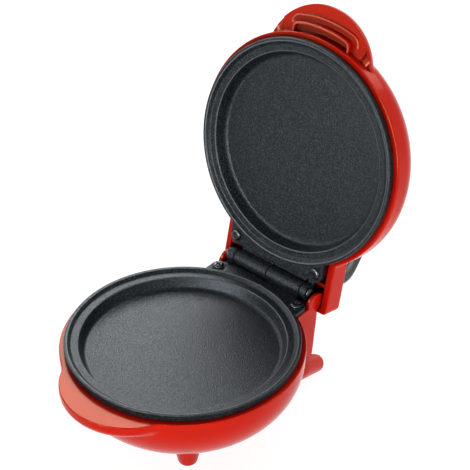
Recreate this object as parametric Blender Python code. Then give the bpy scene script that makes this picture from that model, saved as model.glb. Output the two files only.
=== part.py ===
"""Mini plate cooker: a round electric griddle whose lid opens on a rear hinge pin.

Metres, +Z up, +X to the right, +Y to the hinge, -Y to the handles. The origin is on the table,
under the middle of the appliance without its cord. Each half is modelled in a frame of its own,
open side up, with the centre of its plate's rim plane at zero. The base half stands in that frame
and the lid half is turned over about the hinge and swung open.
"""
import bpy
import bmesh
from math import acos, atan2, cos, hypot, pi, radians, sin, sqrt
from mathutils import Matrix, Vector

# Running gaps and cutter overruns
GAP = 0.0003
OVERRUN = 0.004
TINY = 0.000001
FLUSH_STEP = 0.0001

# Counts of facets and steps
ROUND = 48
SMALL_ROUND = 16
FOOT_ROUND = 24
SCREW_ROUND = 12
CURVE_STEPS = 9
CORNER_STEPS = 4
WIRE_STEPS = 3

# Shells
SHELL_LIP = 0.0025
SHELL_THICKNESS = 0.0025
RIM_DROP = 0.004
RIM_ROUNDING = 0.0006
LEDGE_WIDTH = 0.0052
BOWL_DEPTH = 0.045
BOWL_STRAIGHT = 0.003
BOWL_FULLNESS = 2.2
GROUND_GAP = 0.0042
DOME_DEPTH = 0.0348
DOME_STRAIGHT = 0.0072
DOME_FULLNESS = 2.06

# Cooking plates, one casting used twice
PLATE_RADIUS = 0.061
LIP_WIDTH = 0.0017
LIP_STEP_RUN = 0.0019
LIP_STEP_DROP = 0.00175
INNER_RING_WIDTH = 0.0038
DISH_WALL_RUN = 0.0026
DISH_DEPTH = 0.0078
PLATE_THICKNESS = 0.0025
FLANGE_DROP = 0.0008
FLANGE_SIDE = 0.0043
FLANGE_MARGIN = 0.005
WEB_THICKNESS = 0.0016
BOSS_RADIUS = 0.004
BOSS_LENGTH = 0.0068
BOSS_BORE = 0.0017
BOSS_BORE_DEPTH = 0.005
POST_RADIUS = 0.0025
POST_LENGTH = 0.0037
POST_SPREAD = 0.0135
POST_BORE = 0.0014

# Hinge
HINGE_OVERHANG = 0.0088
HINGE_RISE = 0.0015
OPEN_ANGLE = radians(102.8)
BARREL_RADIUS = 0.0042
SHORT_EAR_LENGTH = 0.004
PIN_RADIUS = 0.002
PIN_HEAD_RADIUS = 0.0033
PIN_HEAD_LENGTH = 0.0016
CLIP_RADIUS = 0.0036
CLIP_THICKNESS = 0.0008

# Screws
SCREW_SPREAD = 0.027
SCREW_TO_HINGE = 0.0108
SCREW_RADIUS = 0.0015
SCREW_HEAD_RADIUS = 0.003
SCREW_HEAD_HEIGHT = 0.0013
SCREW_LENGTH = 0.013
SCREW_SLOT_WIDTH = 0.0008
SCREW_SLOT_LENGTH = 0.0036
SCREW_SLOT_DEPTH = 0.0008
SCREW_BOSS_RADIUS = 0.0036
SMALL_SCREW_RADIUS = 0.0011
SMALL_HEAD_RADIUS = 0.0023
SMALL_HEAD_HEIGHT = 0.0012

# Hinge housing of the base
HOUSING_LIFT = 0.012
HOUSING_RAKE = 0.003
HOUSING_ROUNDING = 0.0012
HOUSING_SIDE_WALL = 0.0033
STOP_GAP = 0.0005
EAR_THICKNESS = 0.0022
EAR_RADIUS = 0.0065
EAR_CENTRE_BACK = 0.0007
EAR_CENTRE_DROP = 0.006

# Hinge housing of the lid
ARM_GAP = 0.0007
ARM_THICKNESS = 0.0037
LID_HOUSING_OVERHANG = 0.0122
LID_HOUSING_DEPTH = 0.0126
LID_REAR_WALL = 0.003
PARTITION_TO_HINGE = 0.0052
PARTITION_THICKNESS = 0.002

# Tongue of the base and handle of the lid
TONGUE_RADIUS = 0.036
TONGUE_OVERHANG = 0.0117
TONGUE_EDGE = 0.003
TONGUE_DEPTH = 0.013
HANDLE_OVERHANG = 0.015
HANDLE_RADIUS = 0.033
HANDLE_TILT = radians(8.5)
HANDLE_DROP = 0.0038
HANDLE_DEPTH = 0.016
HANDLE_EDGE = 0.0006
HANDLE_WALL = 0.0015
HANDLE_ROOF = 0.0022
RIB_THICKNESS = 0.0012
INNER_RIB_OFFSET = 0.0045
INNER_RIB_HALF_WIDTH = 0.0175
INNER_RIB_DROP = 0.002
OUTER_RIB_OFFSET = 0.0081
OUTER_RIB_HALF_WIDTH = 0.021
OUTER_RIB_DROP = 0.0055

# Feet
FRONT_FOOT_REACH = 0.0354
FOOT_TIP_RADIUS = 0.00475
FOOT_TIP_ROUNDING = 0.0012
FRONT_FOOT_ROOT_RADIUS = 0.009
REAR_FOOT_ROOT_RADIUS = 0.0073
REAR_FOOT_ACROSS = 0.0288
REAR_FOOT_OVERHANG = 0.0064
REAR_FOOT_LENGTH = 0.0187
REAR_FOOT_ROOT_RUN = 0.026
REAR_FOOT_RAKE = radians(23.6)
REAR_FOOT_SIT = 0.0004

# Heating elements and reflectors
ELEMENT_MARGIN = 0.0095
ELEMENT_RADIUS = 0.00325
ELEMENT_END_SPREAD = 0.007
ELEMENT_END_MARGIN = 0.001
ELEMENT_BEND = 0.008
REFLECTOR_MARGIN = 0.0085
REFLECTOR_RIM = 0.0015
REFLECTOR_SHEET = 0.0008
REFLECTOR_HOLE = 0.0077

# Thermostat, fuse and terminal block
THERMOSTAT_BACK = 0.0135
THERMOSTAT_CAP_RADIUS = 0.008
THERMOSTAT_CAP_HEIGHT = 0.0034
THERMOSTAT_BODY_RADIUS = 0.0064
THERMOSTAT_BODY_HEIGHT = 0.0075
TAB_WIDTH = 0.0016
TAB_THICKNESS = 0.0008
TAB_LENGTH = 0.004
TAB_SPREAD = 0.0034
BRACKET_SHEET = 0.001
BRACKET_HALF_WIDTH = 0.0085
FUSE_RADIUS = 0.0022
FUSE_HALF_LENGTH = 0.008
FUSE_FORWARD = 0.018
BLOCK_TO_HINGE = 0.0133
BLOCK_HALF_WIDTH = 0.008
BLOCK_HALF_LENGTH = 0.0045
BLOCK_HEIGHT = 0.009
BLOCK_PORT_SPREAD = 0.004
CORD_LIFT = 0.01
PEDESTAL_HALF_WIDTH = 0.007
WIRE_RADIUS = 0.0011

# Indicator in the top of the lid
LENS_RADIUS = 0.004
LENS_FLANGE_RADIUS = 0.006
LENS_FLANGE_HEIGHT = 0.0012
LENS_CROWN = 0.0009
LENS_SEAT = 0.0005
LAMP_RADIUS = 0.0028

# Mains cord
CORD_RADIUS = 0.003
RELIEF_COLLAR_RADIUS = 0.0075
RELIEF_COLLAR_LENGTH = 0.002
RELIEF_ROOT_RADIUS = 0.0055
RELIEF_TIP_RADIUS = 0.0038
RELIEF_LENGTH = 0.028
RELIEF_PLUG_RADIUS = 0.0048
COIL_CENTRE = (-0.061, 0.171)
COIL_OUTER_RADIUS = 0.0365
COIL_PITCH = 0.0066
COIL_LAYER_RISE = 0.0066
COIL_START = radians(50)
COIL_LOOPS = 3
COIL_HEIGHT = 0.0039
LOOP_POINTS = 24
PLUG_LENGTH = 0.024
PLUG_HALF_WIDTH = 0.0105
PLUG_HALF_HEIGHT = 0.0068
PLUG_NECK_LENGTH = 0.014
PLUG_NECK_RADIUS = 0.0045
BLADE_LENGTH = 0.017
BLADE_HEIGHT = 0.0063
BLADE_THICKNESS = 0.0015
BLADE_SPREAD = 0.00635
TIE_WIDTH = 0.008
TIE_SLACK = 0.0012
TIE_THICKNESS = 0.0005
TIE_ANGLE = radians(-20)

# The lead's way from the strain relief to the coil, as it lies on the table
LEAD_ROUTE = [
    (0.0, 0.1053, 0.0262), (0.0, 0.1113, 0.0253), (-0.0004, 0.1178, 0.0226), (-0.0012, 0.1248, 0.0182),
    (-0.0026, 0.1328, 0.0126), (-0.0047, 0.1413, 0.0075), (-0.0073, 0.1498, 0.0044), (-0.0102, 0.1578, 0.0033),
    (-0.0134, 0.1658, 0.0031), (-0.0172, 0.1748, 0.0031), (-0.0220, 0.1838, 0.0031),
]
# The tail's way from the coil's upper layer to the plug
TAIL_ROUTE = [
    (-0.0480, 0.2086, 0.0090), (-0.0550, 0.2142, 0.0080), (-0.0632, 0.2184, 0.0070), (-0.0720, 0.2208, 0.0068),
]
PLUG_START = (-0.0800, 0.2220)
PLUG_HEADING = radians(186)

PAINTS = {
    "red_plastic": ((0.60, 0.016, 0.010, 1), 0.22, 0),
    "red_foot": ((0.52, 0.012, 0.008, 1), 0.3, 0),
    "nonstick": ((0.035, 0.038, 0.042, 1), 0.45, 0.2),
    "dark_steel": ((0.12, 0.12, 0.12, 1), 0.35, 1),
    "bright_steel": ((0.62, 0.62, 0.62, 1), 0.3, 1),
    "element_steel": ((0.30, 0.29, 0.27, 1), 0.45, 1),
    "aluminium": ((0.80, 0.80, 0.80, 1), 0.35, 1),
    "ceramic": ((0.82, 0.80, 0.74, 1), 0.5, 0),
    "lens_amber": ((0.85, 0.30, 0.05, 1), 0.15, 0),
    "lamp_glass": ((0.9, 0.5, 0.3, 1), 0.1, 0),
    "cord_black": ((0.02, 0.02, 0.02, 1), 0.55, 0),
    "wire_red": ((0.55, 0.05, 0.04, 1), 0.5, 0),
    "wire_white": ((0.8, 0.8, 0.78, 1), 0.5, 0),
    "brass": ((0.80, 0.62, 0.25, 1), 0.3, 1),
}

# Heights and places that follow from the sizes above
rim_z = -RIM_DROP
shell_radius = PLATE_RADIUS + SHELL_LIP
ledge_radius = shell_radius - LEDGE_WIDTH
rim_height = RIM_DROP + BOWL_DEPTH + GROUND_GAP
tongue_reach = shell_radius + TONGUE_OVERHANG
handle_reach = shell_radius + HANDLE_OVERHANG
handle_middle = handle_reach - HANDLE_RADIUS * cos(HANDLE_TILT)
inner_rib_reach = shell_radius + INNER_RIB_OFFSET
outer_rib_reach = shell_radius + OUTER_RIB_OFFSET
lip_inner = PLATE_RADIUS - LIP_WIDTH
ring_outer = lip_inner - LIP_STEP_RUN
ring_inner = ring_outer - INNER_RING_WIDTH
floor_radius = ring_inner - DISH_WALL_RUN
skirt_z = GAP - RIM_DROP
underside_z = -DISH_DEPTH - PLATE_THICKNESS
hinge_back = PLATE_RADIUS + HINGE_OVERHANG
screw_back = hinge_back - SCREW_TO_HINGE
flange_back = screw_back + FLANGE_MARGIN
flange_half_width = SCREW_SPREAD + FLANGE_SIDE
housing_half_width = flange_half_width + GAP
housing_depth = BOWL_DEPTH - HOUSING_LIFT
housing_z = rim_z - housing_depth
pin_end = housing_half_width - EAR_THICKNESS - 2 * GAP
pin_head_start = pin_end - PIN_HEAD_LENGTH
short_ear_end = pin_head_start - GAP
short_ear_start = short_ear_end - SHORT_EAR_LENGTH
knuckle_end = short_ear_start - 2 * GAP
lid_housing_back = hinge_back + LID_HOUSING_OVERHANG
partition_back = hinge_back - PARTITION_TO_HINGE
arm_inner = housing_half_width + ARM_GAP
arm_outer = arm_inner + ARM_THICKNESS
rear_foot_tip_back = hinge_back + REAR_FOOT_OVERHANG
reflector_radius = floor_radius - REFLECTOR_MARGIN
element_ring = reflector_radius - ELEMENT_MARGIN
element_end_back = reflector_radius - ELEMENT_END_MARGIN
element_z = underside_z - GAP - ELEMENT_RADIUS
boss_z = underside_z - BOSS_LENGTH
reflector_z = min(boss_z, element_z - ELEMENT_RADIUS) - GAP
block_back = hinge_back - BLOCK_TO_HINGE
cord_height = RIM_DROP + housing_depth - CORD_LIFT
block_z = -cord_height


def new_mesh_object(name, bm):
    """Close a bmesh into an object, with its faces pointing out."""
    bmesh.ops.recalc_face_normals(bm, faces=bm.faces)
    mesh = bpy.data.meshes.new(name)
    bm.to_mesh(mesh)
    bm.free()
    piece = bpy.data.objects.new(name, mesh)
    bpy.context.scene.collection.objects.link(piece)
    return piece


def stack(name, loops):
    """A closed skin over loops with the same number of points, capped at both ends."""
    bm = bmesh.new()
    rings = [[bm.verts.new(point) for point in loop] for loop in loops]
    for lower, upper in zip(rings, rings[1:]):
        for index, corner in enumerate(lower):
            following = (index + 1) % len(lower)
            bm.faces.new((corner, lower[following], upper[following], upper[index]))
    bm.faces.new(rings[0])
    bm.faces.new(rings[-1])
    return new_mesh_object(name, bm)


def turned(name, profile, segments=ROUND, centre=(0, 0)):
    """A solid of revolution from (radius, height) points; points on the axis become poles."""
    bm = bmesh.new()
    rings = []
    for radius, height in profile:
        count = segments if radius > TINY else 1
        ring = []
        for index in range(count):
            turn = 2 * pi * index / segments
            ring.append(bm.verts.new((centre[0] + radius * sin(turn), centre[1] - radius * cos(turn), height)))
        rings.append(ring)
    for one, two in zip(rings, rings[1:] + rings[:1]):
        if len(one) == 1 and len(two) == 1:
            continue
        for index in range(segments):
            following = (index + 1) % segments
            corners = [one[index % len(one)], one[following % len(one)]]
            corners += [two[following % len(two)], two[index % len(two)]]
            bm.faces.new(list(dict.fromkeys(corners)))
    return new_mesh_object(name, bm)


def slab(name, outline, low, high):
    """A prism of a plan outline between two heights."""
    return stack(name, [[(x, y, low) for x, y in outline], [(x, y, high) for x, y in outline]])


def side_slab(name, outline, left, right):
    """A prism of a side outline, given as (back, up) points, run across."""
    return stack(name, [[(left, y, z) for y, z in outline], [(right, y, z) for y, z in outline]])


def box(name, low, high):
    """A rectangular block between two corners."""
    outline = [(low[0], low[1]), (high[0], low[1]), (high[0], high[1]), (low[0], high[1])]
    return slab(name, outline, low[2], high[2])


def lathed_rod(name, start, direction, stations, segments=SMALL_ROUND):
    """A round bar along a direction, from (distance, radius) stations."""
    along = Vector(direction).normalized()
    frame = along.to_track_quat("Z", "Y").to_matrix()
    loops = []
    for distance, radius in stations:
        loop = []
        for index in range(segments):
            turn = 2 * pi * index / segments
            loop.append(Vector(start) + frame @ Vector((radius * cos(turn), radius * sin(turn), distance)))
        loops.append(loop)
    return stack(name, loops)


def arc(centre, radius, start, end, steps):
    """Points of an arc, ends included, by angle from +X of a plan or from the back of a side view."""
    points = []
    for step in range(steps + 1):
        turn = start + (end - start) * step / steps
        points.append((centre[0] + radius * cos(turn), centre[1] + radius * sin(turn)))
    return points


def apply_modifiers(piece):
    """Turn a piece's modifiers into its mesh."""
    bpy.context.view_layer.update()
    depsgraph = bpy.context.evaluated_depsgraph_get()
    mesh = bpy.data.meshes.new_from_object(piece.evaluated_get(depsgraph))
    piece.modifiers.clear()
    piece.data = mesh


def combine(piece, operation, tools):
    """Union with, or cut by, other solids, which are used up."""
    for tool in tools:
        modifier = piece.modifiers.new(operation.title(), "BOOLEAN")
        modifier.operation = operation
        modifier.solver = "EXACT"
        modifier.object = tool
        apply_modifiers(piece)
        bpy.data.objects.remove(tool)
    return piece


def join(piece, *tools):
    """Union a piece with other solids."""
    return combine(piece, "UNION", tools)


def cut(piece, *tools):
    """Take other solids out of a piece."""
    return combine(piece, "DIFFERENCE", tools)


def rounded(piece, width, segments=2):
    """Bevel the sharp edges of a piece."""
    bevel = piece.modifiers.new("Rounding", "BEVEL")
    bevel.width = width
    bevel.segments = segments
    bevel.limit_method = "ANGLE"
    bevel.angle_limit = radians(50)
    apply_modifiers(piece)
    return piece


def paint(piece, paint_name):
    """Give a piece its own Principled material."""
    colour, roughness, metallic = PAINTS[paint_name]
    material = bpy.data.materials.new(piece.name + "_" + paint_name)
    material.use_nodes = True
    shader = material.node_tree.nodes["Principled BSDF"]
    shader.inputs["Base Color"].default_value = colour
    shader.inputs["Roughness"].default_value = roughness
    shader.inputs["Metallic"].default_value = metallic
    material.diffuse_color = colour
    piece.data.materials.clear()
    piece.data.materials.append(material)


def settle(piece, half, paint_name):
    """Smooth, paint and place a finished piece in the frame of its half."""
    if piece.type == "MESH":
        piece.data.shade_smooth()
        piece.data.set_sharp_from_angle(angle=radians(32))
    paint(piece, paint_name)
    piece.parent = half
    if half is not None and half.name == "lid_hinge_axis":
        piece.location = Vector((0, -hinge_back, -HINGE_RISE))
    return piece


def smooth_path(points, steps):
    """A smooth curve through hand-picked points, with a number of steps to each span."""
    spots = [Vector(point) for point in points]
    spots = [spots[0] * 2 - spots[1]] + spots + [spots[-1] * 2 - spots[-2]]
    path = []
    for before, here, there, after in zip(spots, spots[1:], spots[2:], spots[3:]):
        for step in range(steps):
            share = step / steps
            bend = before - here * 5 / 2 + there * 2 - after / 2
            twist = (after - before) / 2 + (here - there) * 3 / 2
            path.append(here + (there - before) / 2 * share + bend * share ** 2 + twist * share ** 3)
    path.append(spots[-2])
    return path


def tube(name, path, radius, resolution=2):
    """A round tube along a path, with closed ends."""
    curve = bpy.data.curves.new(name, "CURVE")
    curve.dimensions = "3D"
    curve.bevel_depth = radius
    curve.bevel_resolution = resolution
    curve.use_fill_caps = True
    spline = curve.splines.new("POLY")
    spline.points.add(len(path) - 1)
    for point, spot in zip(spline.points, path):
        point.co = (spot[0], spot[1], spot[2], 1)
    piece = bpy.data.objects.new(name, curve)
    bpy.context.scene.collection.objects.link(piece)
    return piece


def half_shell_profile(radius, depth, straight, fullness, top):
    """Side view of a half shell's solid: a flat top, a short straight side and a full round bottom."""
    points = [(0, top), (radius - RIM_ROUNDING, top), (radius, top - RIM_ROUNDING)]
    for step in range(CURVE_STEPS + 1):
        turn = pi / 2 * step / CURVE_STEPS
        across = 0 if step == CURVE_STEPS else radius * cos(turn) ** (2 / fullness)
        down = straight + (depth - straight) * sin(turn) ** (2 / fullness)
        points.append((across, rim_z - down))
    return points


def cavity_profile(depth, straight, fullness):
    """Side view of the room inside a half shell, no wider than the mouth that the ledge leaves."""
    radius = shell_radius - SHELL_THICKNESS
    points = [(0, rim_z + OVERRUN), (ledge_radius, rim_z + OVERRUN)]
    for step in range(CURVE_STEPS + 1):
        turn = pi / 2 * step / CURVE_STEPS
        across = 0 if step == CURVE_STEPS else radius * cos(turn) ** (2 / fullness)
        down = straight + (depth - SHELL_THICKNESS - straight) * sin(turn) ** (2 / fullness)
        if across < ledge_radius:
            points.append((across, rim_z - down))
    return points


def opened(back, up):
    """Where a (back, up) point of the lid's frame comes to lie in the base's frame at rest."""
    turn = -OPEN_ANGLE
    out, over = back - hinge_back, HINGE_RISE - up
    return hinge_back + out * cos(turn) - over * sin(turn), HINGE_RISE + out * sin(turn) + over * cos(turn)


def housing_back():
    """Rear face of the base's housing, which stops the open lid's rear edge."""
    return opened(lid_housing_back, rim_z)[0] - STOP_GAP


def screw_post(name, low, high):
    """Two screw bosses inside a half, under the plate's flange."""
    pair = []
    for side in (-1, 1):
        post = lathed_rod(name, (side * SCREW_SPREAD, screw_back, low), (0, 0, 1),
                          [(0, SCREW_BOSS_RADIUS), (high - low, SCREW_BOSS_RADIUS)])
        pair.append(post)
    return pair


def screw_holes(radius, low, high):
    """Two cutters on the screws' axes."""
    pair = []
    for side in (-1, 1):
        hole = lathed_rod("hole", (side * SCREW_SPREAD, screw_back, low), (0, 0, 1),
                          [(0, radius), (high - low, radius)])
        pair.append(hole)
    return pair


def base_body(grow=0):
    """Outer form of the base without its tongue and ears, grown by a clearance if asked."""
    profile = half_shell_profile(shell_radius + grow, BOWL_DEPTH + grow, BOWL_STRAIGHT, BOWL_FULLNESS, rim_z)
    bowl = turned("base_shell", profile)
    back = housing_back()
    top = rim_z - FLUSH_STEP
    outline = [(hinge_back / 2, top), (back + grow, top), (back + grow, rim_z - housing_depth / 4),
               (back - HOUSING_RAKE + grow, housing_z - grow), (hinge_back / 2, housing_z - grow)]
    width = housing_half_width + grow
    housing = rounded(side_slab("housing", outline, -width, width), HOUSING_ROUNDING)
    return join(bowl, housing)


def tongue():
    """Front tongue of the base: a round flat-topped shelf with a rounded underside."""
    top = rim_z - FLUSH_STEP
    profile = [(0, top), (TONGUE_RADIUS - RIM_ROUNDING, top), (TONGUE_RADIUS, top - RIM_ROUNDING)]
    steps = CURVE_STEPS // 2
    for step in range(steps + 1):
        turn = pi / 2 * step / steps
        across = 0 if step == steps else TONGUE_RADIUS * cos(turn)
        profile.append((across, rim_z - TONGUE_EDGE - TONGUE_DEPTH * sin(turn)))
    return turned("tongue", profile, ROUND, (0, TONGUE_RADIUS - tongue_reach))


def base_ears():
    """Two thin ears on the housing's sides; their backs turn about the hinge inside the lid's rear wall."""
    centre = (hinge_back + EAR_CENTRE_BACK, HINGE_RISE - EAR_CENTRE_DROP)
    sweep = hypot(EAR_CENTRE_BACK + EAR_RADIUS, EAR_CENTRE_DROP)
    reach = housing_back() - hinge_back - RIM_ROUNDING
    high_turn = atan2(-EAR_CENTRE_DROP, EAR_CENTRE_BACK + EAR_RADIUS)
    outline = arc(centre, EAR_RADIUS, 0, pi, 2 * CORNER_STEPS)
    outline += [(centre[0] - EAR_RADIUS, rim_z - RIM_DROP)]
    outline += arc((hinge_back, HINGE_RISE), sweep, -acos(reach / sweep), high_turn, CORNER_STEPS)[:-1]
    ears = []
    for side in (-1, 1):
        outer = side * (housing_half_width - FLUSH_STEP)
        ears.append(side_slab("ear", outline, outer - side * EAR_THICKNESS, outer))
    return ears


def make_base_shell(half):
    """Red bowl with its tongue, hinge housing, ears, screw bosses, pedestal and cord hole."""
    shell = join(base_body(), tongue())
    back = housing_back()
    bowl_room = turned("room", cavity_profile(BOWL_DEPTH, BOWL_STRAIGHT, BOWL_FULLNESS))
    wall = housing_half_width - HOUSING_SIDE_WALL
    room_top, room_floor = rim_z - SHELL_THICKNESS, housing_z + SHELL_THICKNESS
    inner_back = back - SHELL_THICKNESS
    outline = [(shell_radius - housing_depth / 2, room_top), (inner_back, room_top),
               (inner_back, rim_z - housing_depth / 4), (inner_back - HOUSING_RAKE, room_floor),
               (shell_radius - RIM_DROP, room_floor), (shell_radius - housing_depth / 2, room_floor + RIM_DROP)]
    housing_room = side_slab("room", outline, -wall, wall)
    cut(shell, bowl_room, housing_room)
    join(shell, *base_ears())
    join(shell, *screw_post("post", rim_z - SCREW_LENGTH - SHELL_THICKNESS, rim_z - GAP))
    holes = screw_holes(SCREW_RADIUS + GAP, rim_z - SCREW_LENGTH, rim_z + OVERRUN)
    pedestal = box("pedestal", (-PEDESTAL_HALF_WIDTH, block_back - BLOCK_HALF_LENGTH, room_floor - GAP),
                   (PEDESTAL_HALF_WIDTH, block_back + BLOCK_HALF_LENGTH, block_z - BLOCK_HEIGHT / 2))
    join(shell, pedestal)
    cord_hole = lathed_rod("hole", (0, inner_back - OVERRUN - HOUSING_RAKE, -cord_height), (0, 1, 0),
                           [(0, RELIEF_PLUG_RADIUS + GAP), (OVERRUN * 3, RELIEF_PLUG_RADIUS + GAP)])
    cut(shell, *holes, cord_hole)
    return settle(shell, half, "red_plastic")


def handle_level(radius, down):
    """Front half of a round level of the lid's handle, at a depth under its sloping rim."""
    points = []
    for step in range(-CURVE_STEPS, CURVE_STEPS + 1):
        turn = pi / 2 * step / CURVE_STEPS
        forward = radius * cos(turn)
        back = forward * cos(HANDLE_TILT) + handle_middle - down * sin(HANDLE_TILT)
        drop = HANDLE_DROP + forward * sin(HANDLE_TILT) + down * cos(HANDLE_TILT)
        points.append((radius * sin(turn), -back, rim_z - drop))
    return points


def handle_bowl(name, inset, depth, rise=0):
    """Solid of the lid's handle: half a shallow bowl that slopes away from the parting plane."""
    radius = HANDLE_RADIUS - inset
    loops = [handle_level(radius, -rise)] if rise else []
    loops.append(handle_level(radius, 0))
    for step in range(CURVE_STEPS):
        turn = pi / 2 * step / CURVE_STEPS
        loops.append(handle_level(radius * cos(turn), HANDLE_EDGE + (depth - HANDLE_EDGE) * sin(turn)))
    return stack(name, loops)


def handle_pocket():
    """Finger pocket of the handle, kept outside the shell's own wall."""
    pocket = handle_bowl("pocket", HANDLE_WALL, HANDLE_DEPTH - HANDLE_ROOF, OVERRUN)
    low = rim_z - HANDLE_DROP - 2 * HANDLE_DEPTH
    keep = turned("keep", [(0, rim_z + 2 * OVERRUN), (shell_radius, rim_z + 2 * OVERRUN), (shell_radius, low), (0, low)])
    return cut(pocket, keep)


def rib(reach, half_width, drop):
    """A thin wall in the pocket: an arc about the shell's axis with both ends turned in to the shell."""
    corner = RIB_THICKNESS * 2
    outlines = []
    for offset in (RIB_THICKNESS / 2, -RIB_THICKNESS / 2):
        radius, half = reach + offset, half_width + offset
        corner_angle = atan2(half - corner, radius)
        side_back = sqrt(shell_radius ** 2 - half ** 2) - RIB_THICKNESS
        points = [(-half, -side_back), (-half, corner - radius * cos(corner_angle))]
        points += arc((0, 0), radius, -pi / 2 - corner_angle, corner_angle - pi / 2, CURVE_STEPS)
        points += [(half, corner - radius * cos(corner_angle)), (half, -side_back)]
        outlines.append(points)
    outline = outlines[0] + outlines[1][::-1]
    wall = slab("rib", outline, rim_z - HANDLE_DROP - HANDLE_DEPTH, rim_z - drop)
    form = handle_bowl("handle_form", HANDLE_WALL / 2, HANDLE_DEPTH - HANDLE_ROOF / 2, 2 * OVERRUN)
    return combine(wall, "INTERSECT", [form])


def make_lid_shell(half):
    """Red dome with its handle, hinge housing with side arms, screw bosses and indicator hole."""
    shell = turned("lid_shell", half_shell_profile(shell_radius, DOME_DEPTH, DOME_STRAIGHT, DOME_FULLNESS, rim_z))
    roof_z = rim_z - LID_HOUSING_DEPTH
    front = shell_radius - LID_HOUSING_DEPTH - SHELL_THICKNESS
    outline = [(front, rim_z), (lid_housing_back, rim_z), (lid_housing_back, roof_z), (front, roof_z)]
    housing = rounded(side_slab("housing", outline, -arm_outer, arm_outer), HOUSING_ROUNDING)
    join(shell, housing, handle_bowl("handle", 0, HANDLE_DEPTH))
    dome_room = turned("room", cavity_profile(DOME_DEPTH, DOME_STRAIGHT, DOME_FULLNESS))
    inner_back = lid_housing_back - LID_REAR_WALL
    room_front = front + SHELL_THICKNESS
    outline = [(room_front, rim_z + OVERRUN), (inner_back, rim_z + OVERRUN),
               (inner_back, roof_z + SHELL_THICKNESS), (room_front, roof_z + SHELL_THICKNESS)]
    housing_room = side_slab("room", outline, -arm_inner, arm_inner)
    cut(shell, dome_room, housing_room, handle_pocket())
    partition = box("partition", (-arm_inner - GAP, partition_back, roof_z + GAP),
                    (arm_inner + GAP, partition_back + PARTITION_THICKNESS, rim_z - GAP))
    join(shell, partition)
    join(shell, *screw_post("post", roof_z + GAP, rim_z - GAP))
    join(shell, rib(inner_rib_reach, INNER_RIB_HALF_WIDTH, INNER_RIB_DROP))
    join(shell, rib(outer_rib_reach, OUTER_RIB_HALF_WIDTH, OUTER_RIB_DROP))
    lens_hole = lathed_rod("hole", (0, 0, rim_z - DOME_DEPTH - OVERRUN), (0, 0, 1),
                           [(0, LENS_RADIUS + GAP), (2 * OVERRUN + SHELL_THICKNESS, LENS_RADIUS + GAP)])
    holes = screw_holes(SCREW_RADIUS + GAP, roof_z + SHELL_THICKNESS, rim_z + OVERRUN)
    cut(shell, lens_hole, *holes)
    return settle(shell, half, "red_plastic")


def flange_outline():
    """Plan of the plate's rear flange, from inside the rim's lip to a straight rear edge."""
    inner = PLATE_RADIUS - LIP_WIDTH
    spread = atan2(flange_half_width, sqrt(inner ** 2 - flange_half_width ** 2))
    points = arc((0, 0), inner, pi / 2 - spread, pi / 2 + spread, CURVE_STEPS)
    corner = flange_half_width - SCREW_SPREAD
    points += arc((-SCREW_SPREAD, flange_back - corner), corner, pi, pi / 2, CORNER_STEPS)
    points += arc((SCREW_SPREAD, flange_back - corner), corner, pi / 2, 0, CORNER_STEPS)
    return points


def barrel(name, start, end, radius, segments=SMALL_ROUND):
    """A round solid on the hinge axis, from one place across to another."""
    return lathed_rod(name, (start, hinge_back, HINGE_RISE), (1, 0, 0), [(0, radius), (end - start, radius)], segments)


def make_plate(name, half):
    """Black casting: stepped rim, shallow smooth dish, rear flange, long knuckle and short ear."""
    skirt_inner = ledge_radius - 2 * GAP
    profile = [(0, -DISH_DEPTH), (floor_radius, -DISH_DEPTH), (ring_inner, -LIP_STEP_DROP),
               (ring_outer, -LIP_STEP_DROP), (lip_inner, 0), (PLATE_RADIUS - GAP, 0),
               (PLATE_RADIUS, -GAP), (PLATE_RADIUS, skirt_z), (skirt_inner, skirt_z),
               (skirt_inner - LIP_WIDTH, skirt_z - LIP_WIDTH), (floor_radius + PLATE_THICKNESS, underside_z),
               (BOSS_RADIUS, underside_z), (BOSS_RADIUS, boss_z), (BOSS_BORE, boss_z),
               (BOSS_BORE, boss_z + BOSS_BORE_DEPTH), (0, boss_z + BOSS_BORE_DEPTH)]
    plate = turned(name, profile)
    flange = slab("flange", flange_outline(), skirt_z, -FLANGE_DROP)
    web_low, web_high = HINGE_RISE - BARREL_RADIUS, HINGE_RISE - BARREL_RADIUS + WEB_THICKNESS
    web_front = flange_back - FLANGE_MARGIN
    parts = [flange]
    for start, end in ((GAP, knuckle_end), (-short_ear_end, -short_ear_start)):
        parts.append(box("web", (start, web_front, web_low), (end, hinge_back, web_high)))
        parts.append(barrel("knuckle", start, end, BARREL_RADIUS))
    for side in (-1, 1):
        parts.append(lathed_rod("post", (side * POST_SPREAD, THERMOSTAT_BACK, underside_z - POST_LENGTH), (0, 0, 1),
                                [(0, POST_RADIUS), (POST_LENGTH + GAP, POST_RADIUS)]))
    join(plate, *parts)
    bores = [barrel("bore", -short_ear_end - OVERRUN, short_ear_end + OVERRUN, PIN_RADIUS + GAP)]
    bores += screw_holes(SCREW_RADIUS + GAP, skirt_z - OVERRUN, OVERRUN)
    for side in (-1, 1):
        bores.append(lathed_rod("bore", (side * POST_SPREAD, THERMOSTAT_BACK, underside_z - POST_LENGTH - OVERRUN),
                                (0, 0, 1), [(0, POST_BORE), (POST_LENGTH + OVERRUN, POST_BORE)]))
    cut(plate, *bores)
    return settle(plate, half, "nonstick")


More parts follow.
